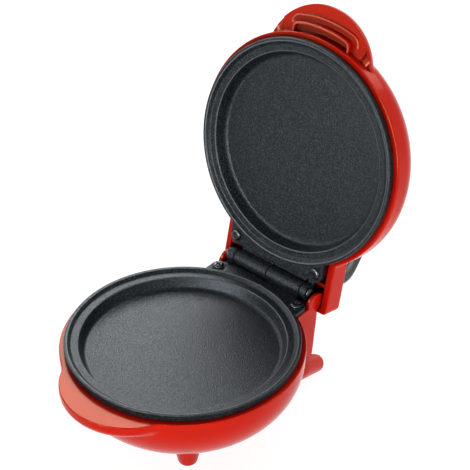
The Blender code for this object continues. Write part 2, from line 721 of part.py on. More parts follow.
def make_pin(half):
    """Steel hinge pin with a round head on the right."""
    reach = pin_head_start + pin_end
    pin = lathed_rod("hinge_pin", (-pin_end, hinge_back, HINGE_RISE), (1, 0, 0),
                     [(0, PIN_RADIUS - GAP), (GAP, PIN_RADIUS), (reach, PIN_RADIUS), (reach, PIN_HEAD_RADIUS),
                      (reach + PIN_HEAD_LENGTH - GAP, PIN_HEAD_RADIUS), (reach + PIN_HEAD_LENGTH, PIN_HEAD_RADIUS - GAP)])
    settle(pin, half, "dark_steel")
    clip_end = -pin_head_start
    clip = barrel("hinge_clip", clip_end - CLIP_THICKNESS, clip_end, CLIP_RADIUS)
    cut(clip, barrel("bore", clip_end - OVERRUN, clip_end + OVERRUN, PIN_RADIUS + GAP))
    settle(clip, half, "bright_steel")


def make_plate_screw(name, half, side):
    """A cross-recess screw through the plate's flange into its boss."""
    seat = GAP - FLANGE_DROP
    top = seat + SCREW_HEAD_HEIGHT
    length = SCREW_LENGTH - RIM_DROP
    crown = SCREW_HEAD_HEIGHT / 2
    screw = lathed_rod(name, (0, 0, seat - length), (0, 0, 1),
                       [(0, SCREW_RADIUS - GAP), (GAP, SCREW_RADIUS), (length, SCREW_RADIUS), (length, SCREW_HEAD_RADIUS),
                        (length + crown, SCREW_HEAD_RADIUS), (length + SCREW_HEAD_HEIGHT, SCREW_HEAD_RADIUS - crown)])
    for wide, deep in ((SCREW_SLOT_LENGTH, SCREW_SLOT_WIDTH), (SCREW_SLOT_WIDTH, SCREW_SLOT_LENGTH)):
        cut(screw, box("slot", (-wide / 2, -deep / 2, top - SCREW_SLOT_DEPTH), (wide / 2, deep / 2, top + OVERRUN)))
    screw.data.transform(Matrix.Translation((side * SCREW_SPREAD, screw_back, 0)))
    return settle(screw, half, "dark_steel")


def make_front_foot(name, half, side):
    """A tapered round foot under the bowl, seated on its skin."""
    lean = FRONT_FOOT_REACH * sqrt(1 / 2)
    height = GROUND_GAP + BOWL_DEPTH / 3
    foot = lathed_rod(name, (side * lean, -lean, -rim_height), (0, 0, 1),
                      [(0, FOOT_TIP_RADIUS - FOOT_TIP_ROUNDING),
                       (FOOT_TIP_ROUNDING / 2, FOOT_TIP_RADIUS - FOOT_TIP_ROUNDING / 3),
                       (FOOT_TIP_ROUNDING, FOOT_TIP_RADIUS), (height, FRONT_FOOT_ROOT_RADIUS)], FOOT_ROUND)
    cut(foot, base_body(GAP))
    return settle(foot, half, "red_foot")


def make_rear_foot(name, half, side):
    """A round foot raked backwards out of the bowl's underside, cut flat where it stands."""
    down = (0, cos(REAR_FOOT_RAKE), -sin(REAR_FOOT_RAKE))
    tip_z = FOOT_TIP_RADIUS * cos(REAR_FOOT_RAKE) - rim_height - REAR_FOOT_SIT
    tip = Vector((side * REAR_FOOT_ACROSS, rear_foot_tip_back, tip_z))
    length = REAR_FOOT_ROOT_RUN + REAR_FOOT_LENGTH
    foot = lathed_rod(name, tip - Vector(down) * length, down,
                      [(0, REAR_FOOT_ROOT_RADIUS), (REAR_FOOT_ROOT_RUN, REAR_FOOT_ROOT_RADIUS),
                       (length, FOOT_TIP_RADIUS), (length + FOOT_TIP_ROUNDING, FOOT_TIP_RADIUS - FOOT_TIP_ROUNDING)],
                      FOOT_ROUND)
    ground = box("ground", (-2 * REAR_FOOT_ACROSS, 0, -2 * rim_height), (2 * REAR_FOOT_ACROSS, 2 * shell_radius, -rim_height))
    cut(foot, base_body(GAP), ground)
    return settle(foot, half, "red_foot")


def make_element(name, half):
    """Tube heater under a plate: an open ring whose two ends bend out to the back."""
    side = ELEMENT_END_SPREAD + ELEMENT_BEND
    back = sqrt((element_ring + ELEMENT_BEND) ** 2 - side ** 2)
    limb = [(-ELEMENT_END_SPREAD, element_end_back), (-ELEMENT_END_SPREAD, (element_end_back + back) / 2)]
    limb += arc((-side, back), ELEMENT_BEND, 0, atan2(-back, side), CORNER_STEPS)
    ring = arc((0, 0), element_ring, atan2(back, -side), atan2(back, side) + 2 * pi, 2 * CURVE_STEPS)
    plan = limb + ring[1:-1] + [(-x, y) for x, y in reversed(limb)]
    return settle(tube(name, [(x, y, element_z) for x, y in plan], ELEMENT_RADIUS), half, "element_steel")


def make_reflector(name, half, with_hole):
    """Aluminium pan under an element, held by its centre screw."""
    top, low = reflector_z, reflector_z - REFLECTOR_SHEET
    bore = SMALL_SCREW_RADIUS + GAP
    edge = reflector_radius + REFLECTOR_RIM
    profile = [(bore, top), (reflector_radius, top), (edge, top + REFLECTOR_RIM),
               (edge + REFLECTOR_SHEET, top + REFLECTOR_RIM), (reflector_radius + REFLECTOR_SHEET, low), (bore, low)]
    pan = turned(name, profile, ROUND // 2)
    if with_hole:
        cut(pan, lathed_rod("hole", (0, THERMOSTAT_BACK, low - OVERRUN), (0, 0, 1),
                            [(0, REFLECTOR_HOLE), (2 * OVERRUN, REFLECTOR_HOLE)]))
    return settle(pan, half, "aluminium")


def make_small_screw(name, half, across, back, seat, length):
    """A small screw driven upwards, its head under the seat."""
    screw = lathed_rod(name, (across, back, seat + length), (0, 0, -1),
                       [(0, SMALL_SCREW_RADIUS), (length + GAP, SMALL_SCREW_RADIUS), (length + GAP, SMALL_HEAD_RADIUS),
                        (length + GAP + SMALL_HEAD_HEIGHT, SMALL_HEAD_RADIUS)], SCREW_ROUND)
    return settle(screw, half, "bright_steel")


def make_thermostat(half):
    """Bimetal thermostat pressed to the lower plate by a strap on two posts."""
    top = underside_z - GAP
    cap_low = top - THERMOSTAT_CAP_HEIGHT
    low = cap_low - THERMOSTAT_BODY_HEIGHT
    body = turned("thermostat", [(0, top), (THERMOSTAT_CAP_RADIUS, top), (THERMOSTAT_CAP_RADIUS, cap_low),
                                 (THERMOSTAT_BODY_RADIUS, cap_low), (THERMOSTAT_BODY_RADIUS, low), (0, low)],
                  FOOT_ROUND, (0, THERMOSTAT_BACK))
    for side in (-1, 1):
        join(body, box("tab", (side * TAB_SPREAD - TAB_WIDTH / 2, THERMOSTAT_BACK - TAB_THICKNESS / 2, low - TAB_LENGTH),
                       (side * TAB_SPREAD + TAB_WIDTH / 2, THERMOSTAT_BACK + TAB_THICKNESS / 2, low + GAP)))
    settle(body, half, "ceramic")
    strap_top = min(cap_low, underside_z - POST_LENGTH) - GAP
    strap_low = strap_top - BRACKET_SHEET
    half_run = POST_SPREAD + POST_RADIUS
    strap = box("thermostat_bracket", (-half_run, THERMOSTAT_BACK - BRACKET_HALF_WIDTH, strap_low),
                (half_run, THERMOSTAT_BACK + BRACKET_HALF_WIDTH, strap_top))
    centre = (0, THERMOSTAT_BACK, strap_low - OVERRUN)
    window = lathed_rod("hole", centre, (0, 0, 1), [(0, THERMOSTAT_BODY_RADIUS + GAP), (3 * OVERRUN, THERMOSTAT_BODY_RADIUS + GAP)],
                        FOOT_ROUND)
    cut(strap, window)
    for side in (-1, 1):
        cut(strap, lathed_rod("hole", (side * POST_SPREAD, THERMOSTAT_BACK, strap_low - OVERRUN), (0, 0, 1),
                              [(0, SMALL_SCREW_RADIUS + GAP), (3 * OVERRUN, SMALL_SCREW_RADIUS + GAP)]))
    settle(strap, half, "bright_steel")
    for name, side in (("bracket_screw_left", -1), ("bracket_screw_right", 1)):
        make_small_screw(name, half, side * POST_SPREAD, THERMOSTAT_BACK, strap_low - GAP, POST_LENGTH)
    return low


def limb_hook(side):
    """Wire route from an element's end over the reflector's rim and down behind it."""
    across = side * ELEMENT_END_SPREAD
    edge = reflector_radius + REFLECTOR_RIM + REFLECTOR_SHEET
    hook = 3 * WIRE_RADIUS
    return [(across, element_end_back + GAP, element_z), (across, edge, element_z),
            (across, edge + hook, element_z - hook / 3), (across, edge + hook * 3 / 2, element_z - hook * 4 / 3),
            (across, edge + hook, reflector_z - hook * 4 / 3)]


def make_base_electrics(half):
    """Thermal fuse, terminal block and the wires that join them to the heater."""
    thermostat_low = make_thermostat(half)
    fuse_z = reflector_z - REFLECTOR_SHEET - GAP - FUSE_RADIUS
    fuse = lathed_rod("thermal_fuse", (-FUSE_HALF_LENGTH, -FUSE_FORWARD, fuse_z), (1, 0, 0),
                      [(0, FUSE_RADIUS), (2 * FUSE_HALF_LENGTH, FUSE_RADIUS)], SCREW_ROUND)
    settle(fuse, half, "ceramic")
    floor = block_z - BLOCK_HEIGHT / 2 + GAP
    front, back = block_back - BLOCK_HALF_LENGTH, block_back + BLOCK_HALF_LENGTH
    block = box("terminal_block", (-BLOCK_HALF_WIDTH, front, floor), (BLOCK_HALF_WIDTH, back, floor + BLOCK_HEIGHT))
    settle(rounded(block, RIM_ROUNDING, 1), half, "ceramic")
    tab_z = thermostat_low - TAB_LENGTH - GAP
    port_y = front - GAP
    drop = 2 * TAB_LENGTH
    slack = TAB_LENGTH / 2
    aside = element_ring / 2
    under = fuse_z - slack
    wires = {
        "lead_live": ("wire_red", [
            (-BLOCK_PORT_SPREAD, port_y, block_z), (-BLOCK_PORT_SPREAD, port_y - drop, block_z),
            (-TAB_SPREAD, THERMOSTAT_BACK + drop, tab_z - drop), (-TAB_SPREAD, THERMOSTAT_BACK, tab_z - slack),
            (-TAB_SPREAD, THERMOSTAT_BACK, tab_z)]),
        "lead_switched": ("wire_red", [
            (TAB_SPREAD, THERMOSTAT_BACK, tab_z), (TAB_SPREAD, THERMOSTAT_BACK, tab_z - slack),
            (FUSE_HALF_LENGTH, 0, tab_z - slack), (FUSE_HALF_LENGTH + drop, -FUSE_FORWARD / 2, under),
            (FUSE_HALF_LENGTH + TAB_LENGTH, -FUSE_FORWARD, fuse_z), (FUSE_HALF_LENGTH + GAP, -FUSE_FORWARD, fuse_z)]),
        "lead_fused": ("wire_red", [
            (-FUSE_HALF_LENGTH - GAP, -FUSE_FORWARD, fuse_z), (-FUSE_HALF_LENGTH - TAB_LENGTH, -FUSE_FORWARD, fuse_z),
            (-aside, -FUSE_FORWARD / 2, under), (-aside, element_ring / 2, under),
            (-aside * 2 / 3, element_ring + drop, under)] + limb_hook(-1)[::-1]),
        "lead_neutral": ("wire_white", [
            (BLOCK_PORT_SPREAD, port_y, block_z), (BLOCK_PORT_SPREAD, port_y - slack, block_z),
            (ELEMENT_END_SPREAD, port_y - 2 * slack, block_z + slack)] + limb_hook(1)[::-1]),
    }
    for name, (colour, route) in wires.items():
        settle(tube(name, smooth_path(route, WIRE_STEPS), WIRE_RADIUS, 1), half, colour)
    tail = lathed_rod("cord_inner_end", (0, back + GAP, block_z), (0, 1, 0),
                      [(0, CORD_RADIUS), (relief_start() - back - 2 * GAP, CORD_RADIUS)])
    settle(tail, half, "cord_black")


def make_indicator(half):
    """Amber lens flush in the top of the lid, its lamp behind it and the lamp's wires."""
    crown_z = rim_z - DOME_DEPTH
    flange_low = crown_z + SHELL_THICKNESS + LENS_SEAT
    flange_high = flange_low + LENS_FLANGE_HEIGHT
    lens = turned("indicator_lens", [(0, crown_z - LENS_CROWN), (LENS_RADIUS / 2, crown_z - LENS_CROWN * 3 / 4),
                                     (LENS_RADIUS, crown_z), (LENS_RADIUS, flange_low), (LENS_FLANGE_RADIUS, flange_low),
                                     (LENS_FLANGE_RADIUS, flange_high), (0, flange_high)], FOOT_ROUND)
    settle(lens, half, "lens_amber")
    start = flange_high + GAP
    lamp_length = (reflector_z - REFLECTOR_SHEET - start) / 2
    lamp = lathed_rod("indicator_lamp", (0, 0, start), (0, 0, 1),
                      [(0, LAMP_RADIUS * 2 / 3), (LAMP_RADIUS / 3, LAMP_RADIUS), (lamp_length, LAMP_RADIUS)], SMALL_ROUND)
    settle(lamp, half, "lamp_glass")
    top = start + lamp_length + GAP
    rise = lamp_length / 2
    for name, side, colour in (("lamp_lead_live", -1, "wire_red"), ("lamp_lead_neutral", 1, "wire_white")):
        spread = side * LAMP_RADIUS / 2
        route = [(spread, 0, top), (spread, 0, top + 2 * WIRE_RADIUS), (2 * spread, rise, top + 3 * WIRE_RADIUS),
                 (side * ELEMENT_END_SPREAD, reflector_radius / 2, top + 2 * WIRE_RADIUS),
                 (side * ELEMENT_END_SPREAD, element_end_back, top + 2 * WIRE_RADIUS)] + limb_hook(side)[::-1]
        settle(tube(name, smooth_path(route, WIRE_STEPS), WIRE_RADIUS, 1), half, colour)


def relief_start():
    """Inner end of the strain relief, just inside the housing's rear wall."""
    return housing_back() - HOUSING_RAKE - SHELL_THICKNESS - OVERRUN / 2


def make_relief(half):
    """Tapered strain relief through the rear wall of the housing, its collar fitted to the wall."""
    inner = housing_back() - HOUSING_RAKE
    collar = HOUSING_RAKE / 2 + RELIEF_COLLAR_LENGTH
    stations = [(0, RELIEF_COLLAR_RADIUS), (collar, RELIEF_COLLAR_RADIUS), (collar, RELIEF_ROOT_RADIUS),
                (collar + RELIEF_LENGTH, RELIEF_TIP_RADIUS)]
    relief = lathed_rod("strain_relief", (0, inner, -cord_height), (0, 1, 0), stations)
    cut(relief, base_body(GAP))
    start = relief_start()
    reach = inner + collar - GAP - start
    join(relief, lathed_rod("stub", (0, start, -cord_height), (0, 1, 0),
                            [(0, RELIEF_PLUG_RADIUS), (reach, RELIEF_PLUG_RADIUS)]))
    settle(relief, half, "cord_black")
    return inner + collar + RELIEF_LENGTH


def coil_path():
    """The coil's centre line: in along the table layer, up in the half turn where it reverses, and out."""
    low = COIL_HEIGHT
    total = COIL_LOOPS * 2 * pi
    count = COIL_LOOPS * LOOP_POINTS
    path = []
    for index in range(count + 1):
        turn = total * index / count
        radius = COIL_OUTER_RADIUS - COIL_PITCH * min(turn, total - turn) / (2 * pi)
        climb = min(max((turn - total / 2) / pi + 1 / 2, 0), 1)
        height = low + COIL_LAYER_RISE * climb * climb * (3 - 2 * climb)
        angle = COIL_START + turn
        path.append(Vector((COIL_CENTRE[0] + radius * cos(angle), COIL_CENTRE[1] + radius * sin(angle), height)))
    first = (path[0] - path[1]).normalized() * 2 * CORD_RADIUS
    last = (path[-1] - path[-2]).normalized() * 2 * CORD_RADIUS
    return [path[0] + first] + path + [path[-1] + last]


def least_gap(path):
    """Smallest gap of a coiled cord to itself, measured between points at least half a loop apart."""
    least = COIL_OUTER_RADIUS
    for index, spot in enumerate(path):
        for other in path[index + LOOP_POINTS // 2:]:
            least = min(least, (spot - other).length - 2 * CORD_RADIUS)
    return least


def make_tie(frame):
    """A flat strap round the coil's turns, lying under and over them."""
    middle = COIL_OUTER_RADIUS - COIL_PITCH * COIL_LOOPS / 4
    reach = COIL_PITCH * COIL_LOOPS / 4 + CORD_RADIUS + TIE_SLACK
    low, high = COIL_HEIGHT - CORD_RADIUS - GAP, COIL_HEIGHT + COIL_LAYER_RISE + CORD_RADIUS + GAP
    radial, along = (cos(TIE_ANGLE), sin(TIE_ANGLE)), (-sin(TIE_ANGLE), cos(TIE_ANGLE))
    bands = []
    for grow, half_width in ((TIE_THICKNESS, TIE_WIDTH / 2), (0, TIE_WIDTH)):
        out, bottom, top = reach + grow, low - grow, high + grow
        section = [(-out, bottom + CORD_RADIUS), (-out + CORD_RADIUS, bottom), (out - CORD_RADIUS, bottom),
                   (out, bottom + CORD_RADIUS), (out, top - CORD_RADIUS), (out - CORD_RADIUS, top),
                   (-out + CORD_RADIUS, top), (-out, top - CORD_RADIUS)]
        loops = []
        for run in (-half_width, half_width):
            loops.append([(COIL_CENTRE[0] + (middle + off) * radial[0] + run * along[0],
                           COIL_CENTRE[1] + (middle + off) * radial[1] + run * along[1], height) for off, height in section])
        bands.append(stack("cord_tie", loops))
    settle(cut(bands[0], bands[1]), frame, "cord_black")


def make_cord(frame, exit_back):
    """Mains cord: lead, coil, tail, tie, plug body and blades, lying on the table behind the base."""
    path = coil_path()
    print("least gap of the coil to itself, mm:", round(least_gap(path) * 1000, 2))
    way = (path[0] - path[1]).normalized()
    lead_end = path[0] + way * GAP
    straight = lead_end + way * 2 * CORD_RADIUS
    start = Vector((0, exit_back + GAP, rim_height - cord_height))
    lead = smooth_path([start] + LEAD_ROUTE + [straight, lead_end], 2)
    settle(tube("cord_lead", lead, CORD_RADIUS), frame, "cord_black")
    settle(tube("cord_coil", path, CORD_RADIUS, 1), frame, "cord_black")
    way = (path[-1] - path[-2]).normalized()
    tail_start = path[-1] + way * GAP
    heading = Vector((cos(PLUG_HEADING), sin(PLUG_HEADING), 0))
    plug_start = Vector((PLUG_START[0], PLUG_START[1], PLUG_HALF_HEIGHT))
    tail_end = plug_start - heading * GAP
    route = [tail_start, tail_start + way * 2 * CORD_RADIUS] + TAIL_ROUTE + [tail_end - heading * CORD_RADIUS, tail_end]
    tail = smooth_path(route, 2)
    settle(tube("cord_tail", tail, CORD_RADIUS), frame, "cord_black")
    length = 0
    for line in (lead, path, tail):
        length += sum((there - here).length for here, there in zip(line, line[1:]))
    print("cord length outside the strain relief, m:", round(length, 3))
    make_tie(frame)
    make_plug(frame, plug_start, heading)


def make_plug(frame, start, heading):
    """Two-blade mains plug lying flat: a neck, a rounded body and two blades."""
    side = Vector((-heading.y, heading.x, 0))
    up = Vector((0, 0, 1))
    neck, body = PLUG_NECK_LENGTH, PLUG_NECK_LENGTH + PLUG_LENGTH
    stations = [(0, PLUG_NECK_RADIUS - GAP, PLUG_NECK_RADIUS - GAP), (neck, PLUG_NECK_RADIUS + GAP, PLUG_NECK_RADIUS + GAP),
                (neck + PLUG_LENGTH / 4, PLUG_HALF_WIDTH, PLUG_HALF_HEIGHT - GAP), (body - GAP, PLUG_HALF_WIDTH, PLUG_HALF_HEIGHT - GAP),
                (body, PLUG_HALF_WIDTH - GAP, PLUG_HALF_HEIGHT - 2 * GAP)]
    loops = []
    for distance, wide, tall in stations:
        loop = []
        for index in range(SMALL_ROUND):
            turn = 2 * pi * (index + 1 / 2) / SMALL_ROUND
            across = wide * max(-1, min(1, cos(turn) * 6 / 5))
            over = tall * max(-1, min(1, sin(turn) * 6 / 5))
            loop.append(start + heading * distance + side * across + up * over)
        loops.append(loop)
    plug = stack("plug_body", loops)
    settle(plug, frame, "cord_black")
    for name, sign in (("plug_blade_left", 1), ("plug_blade_right", -1)):
        middle = start + side * sign * BLADE_SPREAD
        corners = []
        for distance, tall in ((body + GAP, 1), (body + BLADE_LENGTH - BLADE_HEIGHT / 4, 1), (body + BLADE_LENGTH, 1 / 2)):
            spot = middle + heading * distance
            half_height = up * BLADE_HEIGHT / 2 * tall
            half_thick = side * BLADE_THICKNESS / 2
            corners.append([spot - half_height - half_thick, spot - half_height + half_thick,
                            spot + half_height + half_thick, spot + half_height - half_thick])
        settle(stack(name, corners), frame, "brass")


def empty(name, parent, location, rotation=(0, 0, 0)):
    """A frame that pieces are parented to."""
    frame = bpy.data.objects.new(name, None)
    bpy.context.scene.collection.objects.link(frame)
    frame.parent = parent
    frame.location = location
    frame.rotation_euler = rotation
    return frame


def centre(base):
    """Bring the middle of the appliance, front to back, over the origin."""
    bpy.context.view_layer.update()
    reach = []
    for piece in bpy.data.objects:
        if piece.type == "MESH" and piece.name != "strain_relief":
            reach += [(piece.matrix_world @ vertex.co).y for vertex in piece.data.vertices]
    base.location.y -= (min(reach) + max(reach)) / 2


def build():
    """Make every piece of the appliance."""
    for item in list(bpy.data.objects):
        bpy.data.objects.remove(item)
    base = empty("base_frame", None, (0, 0, rim_height))
    lid = empty("lid_hinge_axis", base, (0, hinge_back, HINGE_RISE), (OPEN_ANGLE, pi, 0))
    make_base_shell(base)
    make_lid_shell(lid)
    for prefix, half, right in (("lower", base, 1), ("upper", lid, -1)):
        make_plate(prefix + "_plate", half)
        make_element(prefix + "_heating_element", half)
        make_reflector(prefix + "_reflector", half, half is base)
        make_small_screw(prefix + "_reflector_screw", half, 0, 0, reflector_z - REFLECTOR_SHEET - GAP, BOSS_BORE_DEPTH)
        for label, side in (("left", -right), ("right", right)):
            make_plate_screw(prefix + "_plate_screw_" + label, half, side)
    make_pin(base)
    for label, side in (("left", -1), ("right", 1)):
        make_front_foot("front_foot_" + label, base, side)
        make_rear_foot("rear_foot_" + label, base, side)
    make_base_electrics(base)
    make_indicator(lid)
    exit_back = make_relief(base)
    centre(base)
    make_cord(empty("cord_frame", None, (0, base.location.y, 0)), exit_back)


build()
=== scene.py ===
"""Looks of the plate cooker: smooth shells, cast plates, fasteners, cord, finishes, light and camera.

Each half is drawn in its own frame, open side up, with the centre of its plate's rim plane at zero:
x across, y to the hinge, heights up, in metres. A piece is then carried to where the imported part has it.
"""
from math import acos, asin, atan2, copysign, cos, hypot, pi, radians, sin, sqrt, tan

import bmesh
import bpy
from mathutils import Matrix, Vector


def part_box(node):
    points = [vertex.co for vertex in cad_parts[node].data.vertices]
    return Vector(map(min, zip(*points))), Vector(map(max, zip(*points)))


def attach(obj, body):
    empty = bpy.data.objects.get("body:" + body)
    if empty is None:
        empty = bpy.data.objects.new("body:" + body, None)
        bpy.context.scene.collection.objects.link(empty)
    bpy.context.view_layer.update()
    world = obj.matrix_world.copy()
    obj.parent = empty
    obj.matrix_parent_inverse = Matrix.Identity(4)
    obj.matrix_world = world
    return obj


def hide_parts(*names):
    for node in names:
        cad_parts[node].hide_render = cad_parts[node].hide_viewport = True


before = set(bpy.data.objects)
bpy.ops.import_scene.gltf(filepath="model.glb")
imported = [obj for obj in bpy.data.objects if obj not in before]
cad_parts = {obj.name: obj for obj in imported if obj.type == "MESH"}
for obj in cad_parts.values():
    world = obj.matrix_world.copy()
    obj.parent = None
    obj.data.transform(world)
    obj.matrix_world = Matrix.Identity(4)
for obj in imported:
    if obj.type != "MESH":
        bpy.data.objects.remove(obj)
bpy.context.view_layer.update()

# Sizes that the part has too, in metres
GAP = 0.0003
SHELL_LIP = 0.0025
SHELL_THICKNESS = 0.0025
RIM_DROP = 0.004
RIM_ROUNDING = 0.0006
LEDGE_WIDTH = 0.0052
BOWL_DEPTH = 0.045
BOWL_STRAIGHT = 0.003
BOWL_FULLNESS = 2.2
GROUND_GAP = 0.0042
DOME_DEPTH = 0.0348
DOME_STRAIGHT = 0.0072
DOME_FULLNESS = 2.06
PLATE_RADIUS = 0.061
LIP_WIDTH = 0.0017
LIP_STEP_RUN = 0.0019
LIP_STEP_DROP = 0.00175
INNER_RING_WIDTH = 0.0038
DISH_WALL_RUN = 0.0026
DISH_DEPTH = 0.0078
PLATE_THICKNESS = 0.0025
FLANGE_DROP = 0.0008
FLANGE_SIDE = 0.0043
FLANGE_MARGIN = 0.005
WEB_THICKNESS = 0.0016
HINGE_OVERHANG = 0.0088
HINGE_RISE = 0.0015
OPEN_ANGLE = radians(102.8)
BARREL_RADIUS = 0.0042
SHORT_EAR_LENGTH = 0.004
PIN_RADIUS = 0.002
PIN_HEAD_RADIUS = 0.0033
PIN_HEAD_LENGTH = 0.0016
CLIP_RADIUS = 0.0036
CLIP_THICKNESS = 0.0008
SCREW_SPREAD = 0.027
SCREW_TO_HINGE = 0.0108
SCREW_RADIUS = 0.0015
SCREW_HEAD_RADIUS = 0.003
SCREW_HEAD_HEIGHT = 0.0013
SCREW_LENGTH = 0.013
HOUSING_LIFT = 0.012
HOUSING_RAKE = 0.003
HOUSING_ROUNDING = 0.0012
HOUSING_SIDE_WALL = 0.0033
STOP_GAP = 0.0005
EAR_THICKNESS = 0.0022
EAR_RADIUS = 0.0065
EAR_CENTRE_BACK = 0.0007
EAR_CENTRE_DROP = 0.006
ARM_GAP = 0.0007
ARM_THICKNESS = 0.0037
LID_HOUSING_OVERHANG = 0.0122
LID_HOUSING_DEPTH = 0.0126
LID_REAR_WALL = 0.003
PARTITION_TO_HINGE = 0.0052
PARTITION_THICKNESS = 0.002
TONGUE_RADIUS = 0.036
TONGUE_OVERHANG = 0.0117
TONGUE_EDGE = 0.003
TONGUE_DEPTH = 0.013
HANDLE_OVERHANG = 0.015
HANDLE_RADIUS = 0.033
HANDLE_TILT = radians(8.5)
HANDLE_DROP = 0.0038
HANDLE_DEPTH = 0.016
HANDLE_EDGE = 0.0006
HANDLE_WALL = 0.0015
HANDLE_ROOF = 0.0022
RIB_THICKNESS = 0.0012
INNER_RIB = (0.0045, 0.0175, 0.002)
OUTER_RIB = (0.0081, 0.021, 0.0055)
FRONT_FOOT_REACH = 0.0354
FOOT_TIP_RADIUS = 0.00475
FRONT_FOOT_ROOT_RADIUS = 0.009
REAR_FOOT_ROOT_RADIUS = 0.0073
REAR_FOOT_ACROSS = 0.0288
REAR_FOOT_OVERHANG = 0.0064
REAR_FOOT_LENGTH = 0.0187
REAR_FOOT_ROOT_RUN = 0.026
REAR_FOOT_RAKE = radians(23.6)
REAR_FOOT_SIT = 0.0004
CORD_LIFT = 0.01
CORD_RADIUS = 0.003
RELIEF_COLLAR_RADIUS = 0.0075
RELIEF_COLLAR_LENGTH = 0.002
RELIEF_ROOT_RADIUS = 0.0055
RELIEF_TIP_RADIUS = 0.0038
RELIEF_LENGTH = 0.028
RELIEF_PLUG_RADIUS = 0.0048
COIL_CENTRE = (-0.061, 0.171)
COIL_OUTER_RADIUS = 0.0365
COIL_PITCH = 0.0066
COIL_LAYER_RISE = 0.0066
COIL_START = radians(50)
COIL_LOOPS = 3
COIL_HEIGHT = 0.0039
PLUG_LENGTH = 0.024
PLUG_HALF_WIDTH = 0.0105
PLUG_HALF_HEIGHT = 0.0068
PLUG_NECK_LENGTH = 0.014
PLUG_NECK_RADIUS = 0.0045
BLADE_LENGTH = 0.017
BLADE_HEIGHT = 0.0063
BLADE_THICKNESS = 0.0015
BLADE_SPREAD = 0.00635
TIE_WIDTH = 0.008
TIE_SLACK = 0.0012
TIE_THICKNESS = 0.0005
TIE_ANGLE = radians(-20)
LEAD_ROUTE = [
    (0.0, 0.1053, 0.0262), (0.0, 0.1113, 0.0253), (-0.0004, 0.1178, 0.0226),
    (-0.0012, 0.1248, 0.0182), (-0.0026, 0.1328, 0.0126), (-0.0047, 0.1413, 0.0075),
    (-0.0073, 0.1498, 0.0044), (-0.0102, 0.1578, 0.0033), (-0.0134, 0.1658, 0.0031),
    (-0.0172, 0.1748, 0.0031), (-0.0220, 0.1838, 0.0031),
]
TAIL_ROUTE = [
    (-0.0480, 0.2086, 0.0090), (-0.0550, 0.2142, 0.0080),
    (-0.0632, 0.2184, 0.0070), (-0.0720, 0.2208, 0.0068),
]
PLUG_START = (-0.0800, 0.2220)
PLUG_HEADING = radians(186)

# Detail that only the looks have, in metres
EDGE = 0.0004
FINE_ROUNDING = 0.0002
DISH_ROUNDING = 0.0018
STEP_ROUNDING = 0.0007
INNER_LIP_ROUNDING = 0.0005
SKIRT_ROUNDING = 0.001
UNDERSIDE_ROUNDING = 0.002
FILLET = 0.0016
LIP_ROUNDING = 0.0006
# Reach of the painted highlights along the plates' rim edges
HIGHLIGHT_REACH = 0.0005
RIB_CORNER = 0.0045
RIB_ARC_SHARE = 0.6
FOOT_ROUNDING = 0.0022
REAR_FOOT_EXTRA = 0.0012
REAR_FOOT_BEND = 0.002
GROUND_CORNERS = ((-0.1, 0), (0.1, 0), (0.1, 0.2), (-0.1, 0.2))
CRADLE_GAP = 0.0005
CRADLE_THICKNESS = 0.0009
CRADLE_SWEEP = radians(84)
CRADLE_ROOT = radians(50)
BOSS_RADIUS = 0.0036
SEAT_RADIUS = 0.0038
SEAT_BORE = 0.0033
SEAT_RISE = 0.00045
CROSS_LENGTH = 0.0022
CROSS_WIDTH = 0.0006
CROSS_DEPTH = 0.0009
CROSS_ANGLES = (20, 33)
LENS_RADIUS = 0.004
LENS_RISE = 0.0009
LENS_FLANGE = 0.0012
LENS_FLANGE_RADIUS = 1.5 * LENS_RADIUS
LENS_SEAT_GAP = 0.0005
RELIEF_PLUG_REACH = 0.002
RELIEF_RIB_HEIGHT = 0.0006
RELIEF_TIP_EXTRA = 0.8 * GAP
RELIEF_RIBS = 9
PLUG_RIDGES = 5
PLUG_RIDGE_SHARE = 0.55
PLUG_ROUNDING = 0.0012
PLUG_SQUARENESS = 2.6
PLUG_GROOVE_SHARES = (0.42, 0.52, 0.62, 0.72)
BLADE_CORNER = 0.0022
BLADE_HOLE_RADIUS = 0.0015
BLADE_HOLE_SHARE = 0.72

# Side share of a head's height, and crown share of its radius
SCREW_HEAD_SHARES = (0.55, 0.72)
PIN_HEAD_SHARES = (0.5, 0.6)

# Along and in, for the finger grooves of the plug
PLUG_GROOVE = ((0, 0), (0.0004, 0.0005), (0.0012, 0.0005), (0.0016, 0))

# Share along each rib of the relief, and 1 where it is low
RELIEF_RIB_SHARES = ((0.02, 1), (0.4, 1), (0.5, 0), (0.92, 0), (1.0, 1))

# Posts under the plates: radius, length, bore radius and where the bore ends under the plate
REFLECTOR_POST = (0.004, 0.0068, 0.0017, 0.0018)
BRACKET_POST = (0.0025, 0.0037, 0.0014, 0)
POST_SPREAD = 0.0135

# Depth, straight part and fullness of the round halves
BOWL = (BOWL_DEPTH, BOWL_STRAIGHT, BOWL_FULLNESS)
DOME = (DOME_DEPTH, DOME_STRAIGHT, DOME_FULLNESS)

# Fineness of the meshes; the bands are headings where the outline turns sharply
ROUND = 192
FOOT_ROUND = 64
SMALL_ROUND = 48
FEW_ROUND = 24
ARC_STEPS = 6
LOOP_POINTS = 48
POCKET_STEPS = 24
HANDLE_LEVELS = 34
BAND_STEP = radians(0.4)
BASE_BANDS = ((radians(24), radians(37)), (radians(147), radians(158.5)))
LID_BANDS = ((radians(18), radians(34)), (radians(143), radians(160)))
BEVEL_ANGLE = radians(35)
SHARP_ANGLE = radians(33)

# Merging distance, step that keeps two faces out of one plane, and radius at a pole
TINY = 0.000001
SKIM = 0.00004
POLE = 0.0001

# Steps of a search by halves, cosines of headings past which there is no handle or housing, and
# share of the shell's radius where the search for the handle's side starts
HALVINGS = 32
FRONT_COSINE = 0.5
REAR_COSINE = 0.2
NEAR_SHARE = 0.7

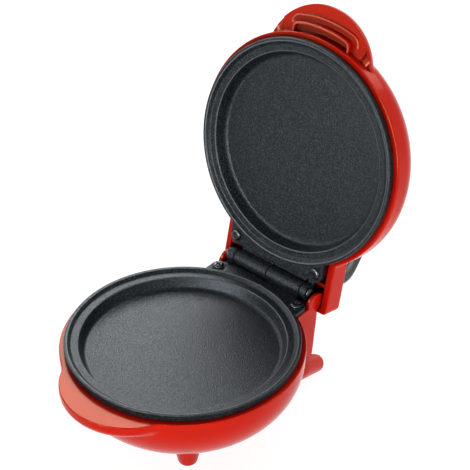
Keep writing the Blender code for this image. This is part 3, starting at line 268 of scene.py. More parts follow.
# Camera, from the photograph's perspective
CAMERA_PLACE = (0.4855, -0.5580, 0.6318)
CAMERA_AZIMUTH = radians(40.305)
CAMERA_ELEVATION = radians(35.56)
CAMERA_ROLL = radians(0.317)
CAMERA_LENS = 137.87

# Light and floor
LAMP_TARGET = (0, 0, 0.06)
LAMP_DISTANCE = 1.2
FILL_STRENGTH = 0.06
FLOOR_GLOW = 1.3
FLOOR_GLOW_SHARE = 0.7
FLOOR_DROP = 0.0002
FLOOR_HALF = 3

# Lamps: name, heading from the front and height angle in degrees, power, size
LAMPS = [
    ("low_right", 40, 12, 7.5, (0.7, 0.35)), ("right", 90, 14, 2.0, (0.7, 0.35)),
    ("left", 275, 20, 5.5, (0.7, 0.5)), ("rear", 180, 42, 6.0, (0.7, 0.7)),
    ("rear_left", 222, 40, 6.5, (0.8, 0.7)), ("front_left", 320, 14, 1.0, (0.7, 0.35)),
]

# Lamps of the same form that show in reflections alone
GLINTS = [
    ("spark", 319, 37, 7, (0.25, 0.25)), ("front_glint", 0, 12, 34, (0.7, 0.35)),
    ("side_glint", 90, 14, 2, (0.7, 0.35)), ("back_glint", 224, 37, 16.5, (0.85, 0.7)),
]

shell_radius = PLATE_RADIUS + SHELL_LIP
ledge_radius = shell_radius - LEDGE_WIDTH
rim_height = RIM_DROP + BOWL_DEPTH + GROUND_GAP
lip_inner = PLATE_RADIUS - LIP_WIDTH
ring_outer = lip_inner - LIP_STEP_RUN
ring_inner = ring_outer - INNER_RING_WIDTH
floor_radius = ring_inner - DISH_WALL_RUN
skirt_z = GAP - RIM_DROP
underside_z = -DISH_DEPTH - PLATE_THICKNESS
hinge_back = PLATE_RADIUS + HINGE_OVERHANG
screw_back = hinge_back - SCREW_TO_HINGE
flange_back = screw_back + FLANGE_MARGIN
flange_half_width = SCREW_SPREAD + FLANGE_SIDE
housing_half_width = flange_half_width + GAP
housing_depth = BOWL_DEPTH - HOUSING_LIFT
pin_end = housing_half_width - EAR_THICKNESS - 2 * GAP
pin_head_start = pin_end - PIN_HEAD_LENGTH
short_ear_end = pin_head_start - GAP
short_ear_start = short_ear_end - SHORT_EAR_LENGTH
knuckle_end = short_ear_start - 2 * GAP
lid_housing_back = hinge_back + LID_HOUSING_OVERHANG
partition_back = hinge_back - PARTITION_TO_HINGE
arm_inner = housing_half_width + ARM_GAP
arm_outer = arm_inner + ARM_THICKNESS
tongue_centre = shell_radius + TONGUE_OVERHANG - TONGUE_RADIUS
handle_reach = shell_radius + HANDLE_OVERHANG
handle_middle = handle_reach - HANDLE_RADIUS * cos(HANDLE_TILT)
handle_near = NEAR_SHARE * shell_radius
handle_far = handle_reach + SHELL_THICKNESS
cord_height = RIM_DROP + housing_depth - CORD_LIFT
stop_out, stop_over = LID_HOUSING_OVERHANG, HINGE_RISE + RIM_DROP
housing_back = hinge_back + stop_out * cos(OPEN_ANGLE) + stop_over * sin(OPEN_ANGLE) - STOP_GAP

# Half width and back of the room in each housing
BASE_ROOM = (housing_half_width - HOUSING_SIDE_WALL, housing_back - SHELL_THICKNESS - HOUSING_RAKE)
LID_ROOM = (arm_inner, lid_housing_back - LID_REAR_WALL)

# Where each half stands
base_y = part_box("lower_plate")[0].y + PLATE_RADIUS
BASE = Matrix.Translation((0, base_y, rim_height))
LID = (BASE @ Matrix.Translation((0, hinge_back, HINGE_RISE)) @ Matrix.Rotation(-OPEN_ANGLE, 4, "X")
       @ Matrix.Rotation(pi, 4, "Y") @ Matrix.Translation((0, -hinge_back, -HINGE_RISE)))
TABLE = Matrix.Translation((0, base_y, 0))


# Numbers and points

def shares(steps):
    """Even shares from 0 to 1, ends included."""
    return [step / steps for step in range(steps + 1)]


def spaced(start, end, count):
    """Evenly spaced values, the first left out."""
    return [start + (end - start) * share for share in shares(count)[1:]]


def quarter(steps=ARC_STEPS):
    """Angles of a quarter turn, ends included."""
    return [pi / 2 * share for share in shares(steps)]


def all_round(count):
    """Even angles of a whole turn."""
    return [2 * pi * index / count for index in range(count)]


def flat_ways(angle):
    """A level way at an angle, and the way to its left."""
    way = Vector((cos(angle), sin(angle), 0))
    return way, Vector((-way.y, way.x, 0))


def eased(value):
    """A value held between 0 and 1, with a slow start and end."""
    share = min(max(value, 0), 1)
    return share * share * (3 - 2 * share)


def arc(centre, radius, start, end, steps):
    """Points of an arc, ends included."""
    angles = [start] + spaced(start, end, steps)
    return [(centre[0] + radius * cos(angle), centre[1] + radius * sin(angle)) for angle in angles]


def softened(points, radius=0.0, steps=ARC_STEPS, closed=False):
    """A polyline with its corners rounded; a point may carry its own radius as its last number."""
    out = []
    for index, corner in enumerate(points):
        here, own = Vector(corner[:2]), corner[2] if len(corner) > 2 else radius
        if own <= 0 or (not closed and index in (0, len(points) - 1)):
            out.append(tuple(here))
            continue
        before, after = Vector(points[index - 1][:2]), Vector(points[(index + 1) % len(points)][:2])
        reach = min(own, (before - here).length / 2, (after - here).length / 2)
        start, end = here + (before - here).normalized() * reach, here + (after - here).normalized() * reach
        for share in shares(steps):
            out.append(tuple(start * (1 - share) ** 2 + here * 2 * share * (1 - share) + end * share ** 2))
    return out


def smooth_path(points, steps):
    """A smooth curve through points, with a number of steps to each span."""
    spots = [Vector(point) for point in points]
    spots = [spots[0] * 2 - spots[1]] + spots + [spots[-1] * 2 - spots[-2]]
    path = []
    for before, here, there, after in zip(spots, spots[1:], spots[2:], spots[3:]):
        bend = before - here * 5 / 2 + there * 2 - after / 2
        twist = (after - before) / 2 + (here - there) * 3 / 2
        for share in shares(steps)[:-1]:
            path.append(here + (there - before) / 2 * share + bend * share ** 2 + twist * share ** 3)
    path.append(spots[-2])
    return path


# Meshes

def mesh_object(name, bm):
    """Turn a bmesh into an object, with doubles merged and faces pointing out."""
    bmesh.ops.remove_doubles(bm, verts=bm.verts, dist=TINY)
    bmesh.ops.recalc_face_normals(bm, faces=bm.faces)
    mesh = bpy.data.meshes.new(name)
    bm.to_mesh(mesh)
    bm.free()
    piece = bpy.data.objects.new(name, mesh)
    bpy.context.scene.collection.objects.link(piece)
    return piece


def skin(name, loops, caps=True, closed=False):
    """A skin over loops with the same number of points, capped at both ends or closed on itself."""
    bm = bmesh.new()
    rings = [[bm.verts.new(point) for point in loop] for loop in loops]
    pairs = list(zip(rings, rings[1:])) + ([(rings[-1], rings[0])] if closed else [])
    for one, two in pairs:
        for index, corner in enumerate(one):
            following = (index + 1) % len(one)
            bm.faces.new((corner, one[following], two[following], two[index]))
    if caps and not closed:
        bm.faces.new(rings[0])
        bm.faces.new(rings[-1])
    return mesh_object(name, bm)


def turned(name, profile, segments=ROUND, centre=(0, 0)):
    """A solid of revolution from a profile of (radius, height) that starts and ends on the axis."""
    return skin(name, [[(centre[0] + radius * sin(turn), centre[1] - radius * cos(turn), height)
                        for turn in all_round(segments)] for radius, height in profile])


def polar(name, turns, profile_of):
    """A solid whose profile of (radius, height) changes with the heading, from pole to pole."""
    rows = zip(*[profile_of(turn) for turn in turns])
    loops = [[(radius * sin(turn), -radius * cos(turn), height)
              for turn, (radius, height) in zip(turns, row)] for row in rows]
    return skin(name, loops, caps=False)


def rod(name, start, direction, stations, segments=SMALL_ROUND):
    """A round bar along a direction, from (distance, radius) stations."""
    turn_to = Vector(direction).normalized().to_track_quat("Z", "Y").to_matrix()
    return skin(name, [[Vector(start) + turn_to @ Vector((radius * cos(turn), radius * sin(turn), distance))
                        for turn in all_round(segments)] for distance, radius in stations])


def slab(name, outline, low, high):
    """A prism of a plan outline with rounded upper and lower edges."""
    return rounded(skin(name, [[(x, y, z) for x, y in outline] for z in (low, high)]), EDGE)


def side_slab(name, outline, left, right, edge=EDGE):
    """A prism of a (back, up) outline run across, with rounded edges."""
    return rounded(skin(name, [[(x, y, z) for y, z in outline] for x in (left, right)]), edge)


def apply_modifiers(piece):
    """Turn a piece's modifiers into its mesh."""
    bpy.context.view_layer.update()
    mesh = bpy.data.meshes.new_from_object(piece.evaluated_get(bpy.context.evaluated_depsgraph_get()))
    piece.modifiers.clear()
    piece.data = mesh
    return piece


def rounded(piece, width):
    """Bevel the sharp edges of a piece."""
    bevel = piece.modifiers.new("Rounding", "BEVEL")
    bevel.width = width
    bevel.segments = 3
    bevel.limit_method = "ANGLE"
    bevel.angle_limit = BEVEL_ANGLE
    return apply_modifiers(piece)


def cut(piece, *tools):
    """Take other solids out of a piece."""
    for tool in tools:
        modifier = piece.modifiers.new("Cut", "BOOLEAN")
        modifier.operation = "DIFFERENCE"
        modifier.solver = "EXACT"
        modifier.object = tool
        apply_modifiers(piece)
        bpy.data.objects.remove(tool)
    return piece


def gather(piece, *others):
    """Put the meshes of other solids into a piece, as one moulding or casting."""
    bm = bmesh.new()
    bm.from_mesh(piece.data)
    for other in others:
        bm.from_mesh(other.data)
        bpy.data.objects.remove(other)
    bm.to_mesh(piece.data)
    bm.free()
    return piece


def painted_highlight_share(piece, share_of):
    """Write how much painted highlight each vertex carries, from its place, for the finishes to show."""
    carried = piece.data.attributes.new("painted_highlight_share", "FLOAT", "POINT")
    for vertex, value in zip(piece.data.vertices, carried.data):
        value.value = share_of(vertex.co)
    return piece


def dress(piece, place, body, material, *nodes):
    """Carry a finished piece to its place, give it its finish and let it stand for its nodes."""
    if piece.type == "MESH":
        piece.data.transform(place)
        piece.data.shade_smooth()
        piece.data.set_sharp_from_angle(angle=SHARP_ANGLE)
        piece.modifiers.new("Even_normals", "WEIGHTED_NORMAL").keep_sharp = True
        apply_modifiers(piece)
    piece.data.materials.clear()
    piece.data.materials.append(material)
    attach(piece, body)
    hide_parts(*nodes)
    return piece


# Finishes

def feed(tree, node, **inputs):
    """Set inputs of a node by name, with _ for a space: outputs are linked, and colours get their alpha."""
    for name, value in inputs.items():
        socket = node.inputs[name.replace("_", " ")]
        if isinstance(value, bpy.types.NodeSocket):
            tree.links.new(value, socket)
        else:
            socket.default_value = (*value, 1) if socket.type == "RGBA" else value
    return node


def add(tree, kind, **inputs):
    """A new shader node with its inputs fed."""
    return feed(tree, tree.nodes.new("ShaderNode" + kind), **inputs)


def new_material(name, colour, roughness, metallic=0.0):
    """A material with its Principled shader and plain constants; returns it with its tree and shader."""
    material = bpy.data.materials.new(name)
    material.use_nodes = True
    material.diffuse_color = (*colour, 1)
    tree = material.node_tree
    shader = tree.nodes["Principled BSDF"]
    return material, tree, feed(tree, shader, Base_Color=colour, Roughness=roughness, Metallic=metallic)


def noise(tree, scale, detail=2.0, stretch=(1, 1, 1)):
    """Noise over the piece's own place, in features to the metre."""
    place = add(tree, "TexCoord").outputs["Object"]
    mapped = add(tree, "Mapping", Vector=place, Scale=stretch).outputs["Vector"]
    return add(tree, "TexNoise", Vector=mapped, Scale=scale, Detail=detail).outputs["Fac"]


def ranged(tree, value, low, high, from_low=0.3, from_high=0.7):
    """Spread a noise value between two numbers."""
    return add(tree, "MapRange", Value=value, From_Min=from_low, From_Max=from_high, To_Min=low,
               To_Max=high).outputs["Result"]


def mixed(tree, share, one, two):
    """Mix two colours, plain ones or outputs, by a share from 0 to 1."""
    mix = tree.nodes.new("ShaderNodeMix")
    mix.data_type = "RGBA"
    return feed(tree, mix, Factor=share, A=one, B=two).outputs["Result"]


def clouds(tree, scale, detail, one, two):
    """Two colours mixed in clouds."""
    return mixed(tree, ranged(tree, noise(tree, scale, detail), 0, 1), one, two)


def relief_of(tree, shader, layers, edge=0.0):
    """Stack bumps, each a (value, distance) pair, on softly rounded edges."""
    under = {}
    if edge > 0:
        bevel = add(tree, "Bevel", Radius=edge)
        bevel.samples = 6
        under["Normal"] = bevel.outputs["Normal"]
    for value, distance in layers:
        under["Normal"] = add(tree, "Bump", Height=value, Distance=distance, **under).outputs["Normal"]
    feed(tree, shader, **under)


def openness(tree, reach):
    """How open a place is to its surroundings within a reach, from 0 to 1."""
    around = add(tree, "AmbientOcclusion", Distance=reach)
    around.samples = 8
    return around.outputs["AO"]


def painted_highlight_mask(tree):
    """The share of painted highlight that a mesh carries, from 0 to 1."""
    carried = tree.nodes.new("ShaderNodeAttribute")
    carried.attribute_name = "painted_highlight_share"
    return carried.outputs["Fac"]


def gloss_plastic(name, colour, painted_shade_reach):
    """Glossy moulded plastic: flow waves, fine orange peel, slight haze, painted shade in recesses and
    painted highlights where a mesh marks them.
    """
    material, tree, shader = new_material(name, colour, 0.16)
    waves = ranged(tree, noise(tree, 60, 3), 0, 1)
    open_red = mixed(tree, waves, colour, tuple(channel * 0.92 for channel in colour))
    # Painted shade: a darker red where the surroundings close in within a reach, standing for the shade in
    # recesses
    recess = mixed(tree, waves, (colour[0] * 0.36, 0.001, 0.0005), (colour[0] * 0.3, 0.001, 0.0005))
    unshaded_share = ranged(tree, openness(tree, painted_shade_reach), 0, 1, 0.34, 0.88)
    # Painted highlight: a paler pinkish red where the mesh marks it, on the ribs' round tops
    painted_highlight_colour = mixed(tree, waves, (0.90, 0.16, 0.10), (0.95, 0.24, 0.16))
    body = mixed(tree, unshaded_share, recess, open_red)
    feed(tree, shader, Specular_IOR_Level=0.13, Specular_Tint=(1.0, 0.74, 0.33),
         Base_Color=mixed(tree, painted_highlight_mask(tree), body, painted_highlight_colour),
         Roughness=ranged(tree, noise(tree, 900, 3), 0.12, 0.2))
    relief_of(tree, shader, [(noise(tree, 90, 2), 0.00005), (noise(tree, 1400, 2), 0.000003)], 0.0004)
    return material


def nonstick():
    """Sprayed non-stick coating over cast aluminium: dark, finely pebbled, with paler flecks and painted
    highlights along marked edges.
    """
    material, tree, shader = new_material("nonstick_coating", (0.008, 0.010, 0.011), 0.38)
    fleck = noise(tree, 1500, 1)
    fleck_share = ranged(tree, fleck, 0, 1, 0.46, 0.68)
    base = mixed(tree, fleck_share, (0.0005, 0.0007, 0.0009), (0.040, 0.049, 0.056))
    # Painted highlight: paler grey along the rim edges that the plate's mesh marks, standing for light caught
    # by those edges
    painted_highlight_colour = mixed(tree, fleck, (0.12, 0.14, 0.15), (0.30, 0.34, 0.36))
    feed(tree, shader, Specular_IOR_Level=0.14, Specular_Tint=(0.80, 0.91, 1.0),
         Base_Color=mixed(tree, painted_highlight_mask(tree), base, painted_highlight_colour),
         Roughness=ranged(tree, noise(tree, 700, 4), 0.27, 0.37))
    relief_of(tree, shader, [(noise(tree, 1500, 3), 0.00016), (fleck, 0.0001)], 0.0002)
    return material


def metal(name, colour, roughness, grain=(1, 1, 1), worn=0.15):
    """Drawn, plated or blackened metal with grain along one way and uneven haze."""
    material, tree, shader = new_material(name, colour, roughness, 1.0)
    duller = tuple(channel * (1 - worn) for channel in colour)
    feed(tree, shader, Base_Color=clouds(tree, 400, 4, colour, duller),
         Roughness=ranged(tree, noise(tree, 900, 3, grain), roughness * 0.8, roughness * 1.25))
    relief_of(tree, shader, [(noise(tree, 2500, 2, grain), 0.00001)], 0.0002)
    return material


def matt(name, colour, roughness, scale=1500, depth=0.00002, sheen=0.0):
    """Moulded rubber, ceramic or woven sleeve: matt, mottled and finely textured."""
    material, tree, shader = new_material(name, colour, roughness)
    paler = tuple(min(1, channel * 1.35 + 0.002) for channel in colour)
    feed(tree, shader, Sheen_Weight=sheen, Specular_IOR_Level=0.25,
         Base_Color=clouds(tree, scale / 4, 4, colour, paler),
         Roughness=ranged(tree, noise(tree, scale / 2, 2), roughness * 0.85, min(1, roughness * 1.15)))
    relief_of(tree, shader, [(noise(tree, scale, 3), depth)], 0.0003)
    return material


def heat_browned():
    """Steel heater sheath with blue and straw temper colours."""
    material, tree, shader = new_material("heat_browned_steel", (0.30, 0.27, 0.23), 0.42, 1.0)
    feed(tree, shader, Base_Color=clouds(tree, 130, 4, (0.34, 0.27, 0.19), (0.19, 0.20, 0.25)))
    relief_of(tree, shader, [(noise(tree, 1800, 3), 0.00002)])
    return material


def amber(name, roughness):
    """Translucent amber lens or lamp glass."""
    material, tree, shader = new_material(name, (0.95, 0.42, 0.08), roughness)
    feed(tree, shader, Transmission_Weight=0.7, IOR=1.5,
         Base_Color=clouds(tree, 300, 3, (0.95, 0.42, 0.08), (0.85, 0.30, 0.05)))
    relief_of(tree, shader, [(noise(tree, 1200, 2), 0.00001)])
    return material


RED = gloss_plastic("gloss_red_plastic", (0.72, 0.011, 0.004), 0.018)
RED_FOOT = gloss_plastic("gloss_red_feet", (0.66, 0.010, 0.004), 0.003)
COATING = nonstick()
BLACK_STEEL = metal("blackened_steel", (0.042, 0.045, 0.048), 0.26, worn=0.4)
BRIGHT_STEEL = metal("plated_steel", (0.66, 0.66, 0.68), 0.25)
ALUMINIUM = metal("bright_aluminium", (0.82, 0.83, 0.84), 0.32, (1, 14, 1))
BRASS = metal("plug_brass", (0.80, 0.62, 0.30), 0.25, (1, 12, 1))
SHEATH = heat_browned()
CERAMIC = matt("pale_ceramic", (0.80, 0.78, 0.71), 0.5, 900)
CORD_BLACK = matt("cord_black", (0.018, 0.018, 0.019), 0.5, 1600, 0.00001)
TIE_BLACK = matt("woven_tie", (0.015, 0.015, 0.016), 0.85, 2600, 0.00008, sheen=0.3)
SLEEVE_RED = matt("silicone_sleeve_red", (0.50, 0.04, 0.03), 0.55, 2600, 0.00004)
SLEEVE_WHITE = matt("silicone_sleeve_white", (0.78, 0.78, 0.75), 0.55, 2600, 0.00004)
AMBER = amber("amber_lens", 0.12)
LAMP_GLASS = amber("amber_lamp", 0.08)


# Camera, plug and cord

def make_camera():
    """The camera at the photograph's place."""
    camera = bpy.data.objects.new("camera", bpy.data.cameras.new("camera"))
    camera.data.lens = CAMERA_LENS
    camera.data.clip_start = 0.01
    across, ahead = flat_ways(CAMERA_AZIMUTH)
    back = Vector((0, 0, sin(CAMERA_ELEVATION))) - ahead * cos(CAMERA_ELEVATION)
    up = back.cross(across)
    right = across * cos(CAMERA_ROLL) + up * sin(CAMERA_ROLL)
    over = up * cos(CAMERA_ROLL) - across * sin(CAMERA_ROLL)
    camera.matrix_world = Matrix.Translation(CAMERA_PLACE) @ Matrix((right, over, back)).transposed().to_4x4()
    bpy.context.scene.collection.objects.link(camera)
    bpy.context.scene.camera = camera


def coil_path():
    """The coil's centre line: in along the table layer, up where the spiral turns back, and out."""
    total = COIL_LOOPS * 2 * pi
    path = []
    for turn in [total * share for share in shares(COIL_LOOPS * LOOP_POINTS)]:
        radius = COIL_OUTER_RADIUS - COIL_PITCH * min(turn, total - turn) / (2 * pi)
        height = COIL_HEIGHT + COIL_LAYER_RISE * eased((turn - total / 2) / pi + 1 / 2)
        path.append(Vector((COIL_CENTRE[0] + radius * cos(COIL_START + turn),
                            COIL_CENTRE[1] + radius * sin(COIL_START + turn), height)))
    first, last = (path[0] - path[1]).normalized(), (path[-1] - path[-2]).normalized()
    return [path[0] + first * 2 * CORD_RADIUS] + path + [path[-1] + last * 2 * CORD_RADIUS]


def rounded_square(start, heading, side, distance, wide, tall):
    """A rounded-square section across a heading."""
    loop = []
    for turn in [2 * pi * (index + 1 / 2) / SMALL_ROUND for index in range(SMALL_ROUND)]:
        across = copysign(wide * abs(cos(turn)) ** (2 / PLUG_SQUARENESS), cos(turn))
        over = copysign(tall * abs(sin(turn)) ** (2 / PLUG_SQUARENESS), sin(turn))
        loop.append(start + heading * distance + side * across + Vector((0, 0, over)))
    return loop


def make_plug():
    """Plug body with finger grooves and a ridged neck, and its two blades with their holes."""
    heading, side = flat_ways(PLUG_HEADING)
    start = Vector((*PLUG_START, PLUG_HALF_HEIGHT))
    pitch, thin = PLUG_NECK_LENGTH / PLUG_RIDGES, PLUG_NECK_RADIUS
    stations = [(0, thin - 2 * GAP, thin - 2 * GAP)]
    for near in [pitch * ridge for ridge in range(PLUG_RIDGES)]:
        far = near + pitch * PLUG_RIDGE_SHARE
        for along, drop in ((near + GAP, 0), (far, 0), (far + GAP, 2 * GAP), (near + pitch, 2 * GAP)):
            stations.append((along, thin - drop, thin - drop))
    wide, tall, end = PLUG_HALF_WIDTH, PLUG_HALF_HEIGHT - GAP, PLUG_NECK_LENGTH + PLUG_LENGTH
    for turn in quarter():
        stations.append((PLUG_NECK_LENGTH + PLUG_LENGTH / 3 * (1 - cos(turn)),
                         thin + (wide - thin) * sin(turn), thin + (tall - thin) * sin(turn)))
    for share in PLUG_GROOVE_SHARES:
        near = PLUG_NECK_LENGTH + PLUG_LENGTH * share
        stations += [(near + along, wide - drop, tall - drop / 2) for along, drop in PLUG_GROOVE]
    for turn in quarter():
        drop = PLUG_ROUNDING * (1 - cos(turn))
        stations.append((end - PLUG_ROUNDING * (1 - sin(turn)), wide - drop, tall - drop))
    plug = skin("plug", [rounded_square(start, heading, side, *station) for station in stations])
    pieces = [dress(plug, TABLE, "base", CORD_BLACK, "plug_body")]
    length, half = BLADE_LENGTH - GAP, BLADE_HEIGHT / 2
    outline = softened([(0, -half), (length, -half, BLADE_CORNER), (length, half, BLADE_CORNER), (0, half)])
    for name, sign in (("blade_left", 1), ("blade_right", -1)):
        middle = start + side * sign * BLADE_SPREAD + heading * (end + GAP)
        loops = [[middle + heading * along + side * off + Vector((0, 0, up)) for along, up in outline]
                 for off in (-BLADE_THICKNESS / 2, BLADE_THICKNESS / 2)]
        blade = rounded(skin("brass_" + name, loops), GAP)
        hole = rod("hole", middle + heading * BLADE_LENGTH * BLADE_HOLE_SHARE - side * BLADE_HEIGHT, side,
                   [(0, BLADE_HOLE_RADIUS), (2 * BLADE_HEIGHT, BLADE_HOLE_RADIUS)], FEW_ROUND)
        pieces.append(dress(cut(blade, hole), TABLE, "base", BRASS, "plug_" + name))
    return pieces


def make_tie():
    """A flat woven strap round the coil."""
    middle = COIL_OUTER_RADIUS - COIL_PITCH * COIL_LOOPS / 4
    reach = COIL_PITCH * COIL_LOOPS / 4 + CORD_RADIUS + TIE_SLACK
    low, high = COIL_HEIGHT - CORD_RADIUS - GAP, COIL_HEIGHT + COIL_LAYER_RISE + CORD_RADIUS + GAP
    radial, along = flat_ways(TIE_ANGLE)
    rings = []
    for grow, run in ((0, -1), (TIE_THICKNESS, -1), (TIE_THICKNESS, 1), (0, 1)):
        out, bottom, top = reach + grow, low - grow, high + grow
        section = [(-out, bottom), (out, bottom), (out, top), (-out, top)]
        rings.append([Vector((*COIL_CENTRE, up)) + radial * (middle + off) + along * run * TIE_WIDTH / 2
                      for off, up in softened(section, CORD_RADIUS, 8, closed=True)])
    return dress(skin("tie", rings, closed=True), TABLE, "base", TIE_BLACK, "cord_tie")


def make_relief():
    """Ribbed strain relief on a domed collar, fitted to the rear wall."""
    seat = HOUSING_RAKE / 2
    collar = seat + RELIEF_COLLAR_LENGTH
    stations = [(-SHELL_THICKNESS - RELIEF_PLUG_REACH, RELIEF_PLUG_RADIUS), (seat, RELIEF_PLUG_RADIUS),
                (seat, RELIEF_COLLAR_RADIUS), (collar - 2 * EDGE, RELIEF_COLLAR_RADIUS),
                (collar - EDGE / 2, RELIEF_COLLAR_RADIUS - EDGE / 2),
                (collar, RELIEF_COLLAR_RADIUS - 2 * EDGE)]
    for rib in range(RELIEF_RIBS):
        for share, drop in RELIEF_RIB_SHARES:
            along = (rib + share) / RELIEF_RIBS
            radius = RELIEF_ROOT_RADIUS + (RELIEF_TIP_RADIUS - RELIEF_ROOT_RADIUS) * along
            stations.append((collar + RELIEF_LENGTH * along, radius - drop * RELIEF_RIB_HEIGHT))
    stations.append((collar + RELIEF_LENGTH + RELIEF_TIP_EXTRA, RELIEF_TIP_RADIUS - RELIEF_RIB_HEIGHT))
    relief = rod("ribbed_strain_relief", (0, housing_back - HOUSING_RAKE, -cord_height), (0, 1, 0), stations)
    return dress(relief, BASE, "base", CORD_BLACK, "strain_relief")


def make_cord():
    """The mains cord on one centre line: lead, coil and tail, with its plug and tie."""
    exit_back = housing_back - HOUSING_RAKE / 2 + RELIEF_COLLAR_LENGTH + RELIEF_LENGTH
    coil = coil_path()
    way_in, way_out = (coil[0] - coil[1]).normalized(), (coil[-1] - coil[-2]).normalized()
    start = Vector((0, exit_back + GAP, rim_height - cord_height))
    heading = flat_ways(PLUG_HEADING)[0]
    end = Vector((*PLUG_START, PLUG_HALF_HEIGHT)) - heading * GAP
    lead = smooth_path([start] + LEAD_ROUTE + [coil[0] + way_in * 2 * CORD_RADIUS, coil[0]], 3)
    tail = smooth_path([coil[-1], coil[-1] + way_out * 2 * CORD_RADIUS] + TAIL_ROUTE
                       + [end - heading * CORD_RADIUS, end], 3)
    path = [TABLE @ spot for spot in lead[:-1] + coil + tail[1:]]
    curve = bpy.data.curves.new("mains_cord", "CURVE")
    curve.dimensions = "3D"
    curve.bevel_depth = CORD_RADIUS
    curve.bevel_resolution = 6
    curve.use_fill_caps = True
    spline = curve.splines.new("POLY")
    spline.points.add(len(path) - 1)
    for point, spot in zip(spline.points, path):
        point.co = (*spot, 1)
    spline.use_smooth = True
    cord = bpy.data.objects.new("mains_cord", curve)
    bpy.context.scene.collection.objects.link(cord)
    dress(cord, TABLE, "base", CORD_BLACK, "cord_lead", "cord_coil", "cord_tail")
    goes_with = make_plug() + [make_tie()]


# Shells

def headings(*bands):
    """Headings all round, with closer steps in bands on both sides; zero is the front."""
    values = {round(turn, 6) for turn in all_round(ROUND)}
    for start, end in bands:
        for turn in [start] + spaced(start, end, int((end - start) / BAND_STEP)):
            values.update((round(turn, 6), round(2 * pi - turn, 6)))
    return sorted(values)


def round_reach(form, down, grow=0.0):
    """Reach of a round half at a depth under its rim plane, with the half grown or thinned all over."""
    depth, straight, fullness = form
    share = min(max((down - straight) / (depth + grow - straight), 0), 1)
    return (shell_radius + grow) * (1 - share ** fullness) ** (1 / fullness)


def round_depths(form, start, count, grow=0.0, inward=False):
    """Depths between a start and the pole of a round half, closer together where it flattens."""
    depth, straight, fullness = form
    span = depth + grow - straight
    first = asin(((start - straight) / span) ** (fullness / 2))
    turns = spaced(pi / 2, first, count) if inward else spaced(first, pi / 2, count)
    return [straight + span * sin(turn) ** (2 / fullness) for turn in turns]


def side_points(reach_of, heading, depths, *how):
    """Points of a section at depths under the rim plane, from a function for the reach."""
    return [(reach_of(heading, down, *how), -RIM_DROP - down) for down in depths]


def blended(one, two):
    """The larger of two reaches, with a hollow rounding where they meet."""
    near = max(FILLET - abs(one - two), 0) / FILLET
    return max(one, two) + near * near * FILLET / 4


def tucked(down, depth):
    """How far a housing's wall is drawn in at a depth by the rounding at its foot."""
    tuck = max(down - depth + HOUSING_ROUNDING, 0) / HOUSING_ROUNDING
    return HOUSING_ROUNDING * (1 - sqrt(max(1 - tuck ** 2, 0)))


def disc_reach(heading, centre, radius):
    """How far a disc at the front reaches from the axis."""
    room = radius ** 2 - (centre * sin(heading)) ** 2
    return centre * cos(heading) + sqrt(room) if room > 0 else 0


def block_reach(heading, half_width, back, corner):
    """How far a block at the back reaches from the axis, its upright corners rounded."""
    turn = abs(pi - heading)
    if cos(turn) <= REAR_COSINE:
        return 0
    reach = back / cos(turn)
    if sin(turn) * reach > half_width:
        reach = half_width / sin(turn)
    x, y = half_width - corner, back - corner
    if reach * sin(turn) > x and reach * cos(turn) > y:
        over = x * sin(turn) + y * cos(turn)
        reach = over + sqrt(max(corner ** 2 - (x ** 2 + y ** 2 - over ** 2), 0))
    return reach


def handle_rim(heading, reach):
    """Height of the handle's sloping rim plane at a place."""
    return -RIM_DROP - HANDLE_DROP - (reach * cos(heading) - handle_middle) * tan(HANDLE_TILT)


def handle_gap(heading, reach, height, inset, roof):
    """How far a place lies outside the handle's tilted bowl, drawn in by an inset and a roof."""
    forward, over = reach * cos(heading) - handle_middle, height + RIM_DROP + HANDLE_DROP
    along = forward * cos(HANDLE_TILT) - over * sin(HANDLE_TILT)
    under = -forward * sin(HANDLE_TILT) - over * cos(HANDLE_TILT) - HANDLE_EDGE
    under = max(under / (HANDLE_DEPTH - roof - HANDLE_EDGE), 0)
    return hypot(reach * sin(heading), along) - (HANDLE_RADIUS - inset) * sqrt(max(1 - under ** 2, 0))


def crossing(low, high, outside):
    """Where a test turns from inside to outside between two values."""
    for _ in range(HALVINGS):
        middle = (low + high) / 2
        if outside(middle):
            high = middle
        else:
            low = middle
    return (low + high) / 2


def handle_side(heading, height=None, inset=0.0, roof=0.0):
    """How far the handle reaches from the axis at a height or at its rim, or zero where it has ended."""
    def outside(reach):
        level = handle_rim(heading, reach) if height is None else height
        return handle_gap(heading, reach, level, inset, roof) > 0

    if cos(heading) < FRONT_COSINE or outside(handle_near):
        return 0
    return crossing(handle_near, handle_far, outside)


def handle_floor(heading, reach):
    """Height of the finger pocket's floor at a place."""
    rim = handle_rim(heading, reach)
    if handle_gap(heading, reach, rim, HANDLE_WALL, HANDLE_ROOF) > 0:
        return rim
    return crossing(rim, rim - HANDLE_DEPTH,
                    lambda height: handle_gap(heading, reach, height, HANDLE_WALL, HANDLE_ROOF) > 0)


def rim_arc(reach, rounding):
    """Rounded outer edge at the parting plane, from the flat top to the side."""
    return [(reach - rounding * (1 - sin(turn)), -RIM_DROP - rounding * (1 - cos(turn)))
            for turn in quarter()]


def base_outer(heading, down, grow=0.0, with_block=True):
    """Outer reach of the base at a depth: bowl, tongue and hinge housing."""
    reach = round_reach(BOWL, down, grow)
    under = max((down - TONGUE_EDGE) / TONGUE_DEPTH, 0)
    if under < 1:
        radius = TONGUE_RADIUS * sqrt(1 - under ** 2) + grow
        reach = blended(reach, disc_reach(heading, tongue_centre, radius))
    if with_block:
        straight = housing_depth / 4
        rake = HOUSING_RAKE * max(down - straight, 0) / (housing_depth - straight)
        out = grow - tucked(down, housing_depth)
        block = block_reach(heading, housing_half_width + out, housing_back - rake + out, HOUSING_ROUNDING)
        reach = blended(reach, block)
    return reach


def inner_reach(heading, down, form, room=()):
    """Inner reach of a half at a depth: the round room under its ledge, and its housing's if given."""
    reach = min(ledge_radius, round_reach(form, down, -SHELL_THICKNESS))
    return max(reach, block_reach(heading, *room, HOUSING_ROUNDING)) if room else reach


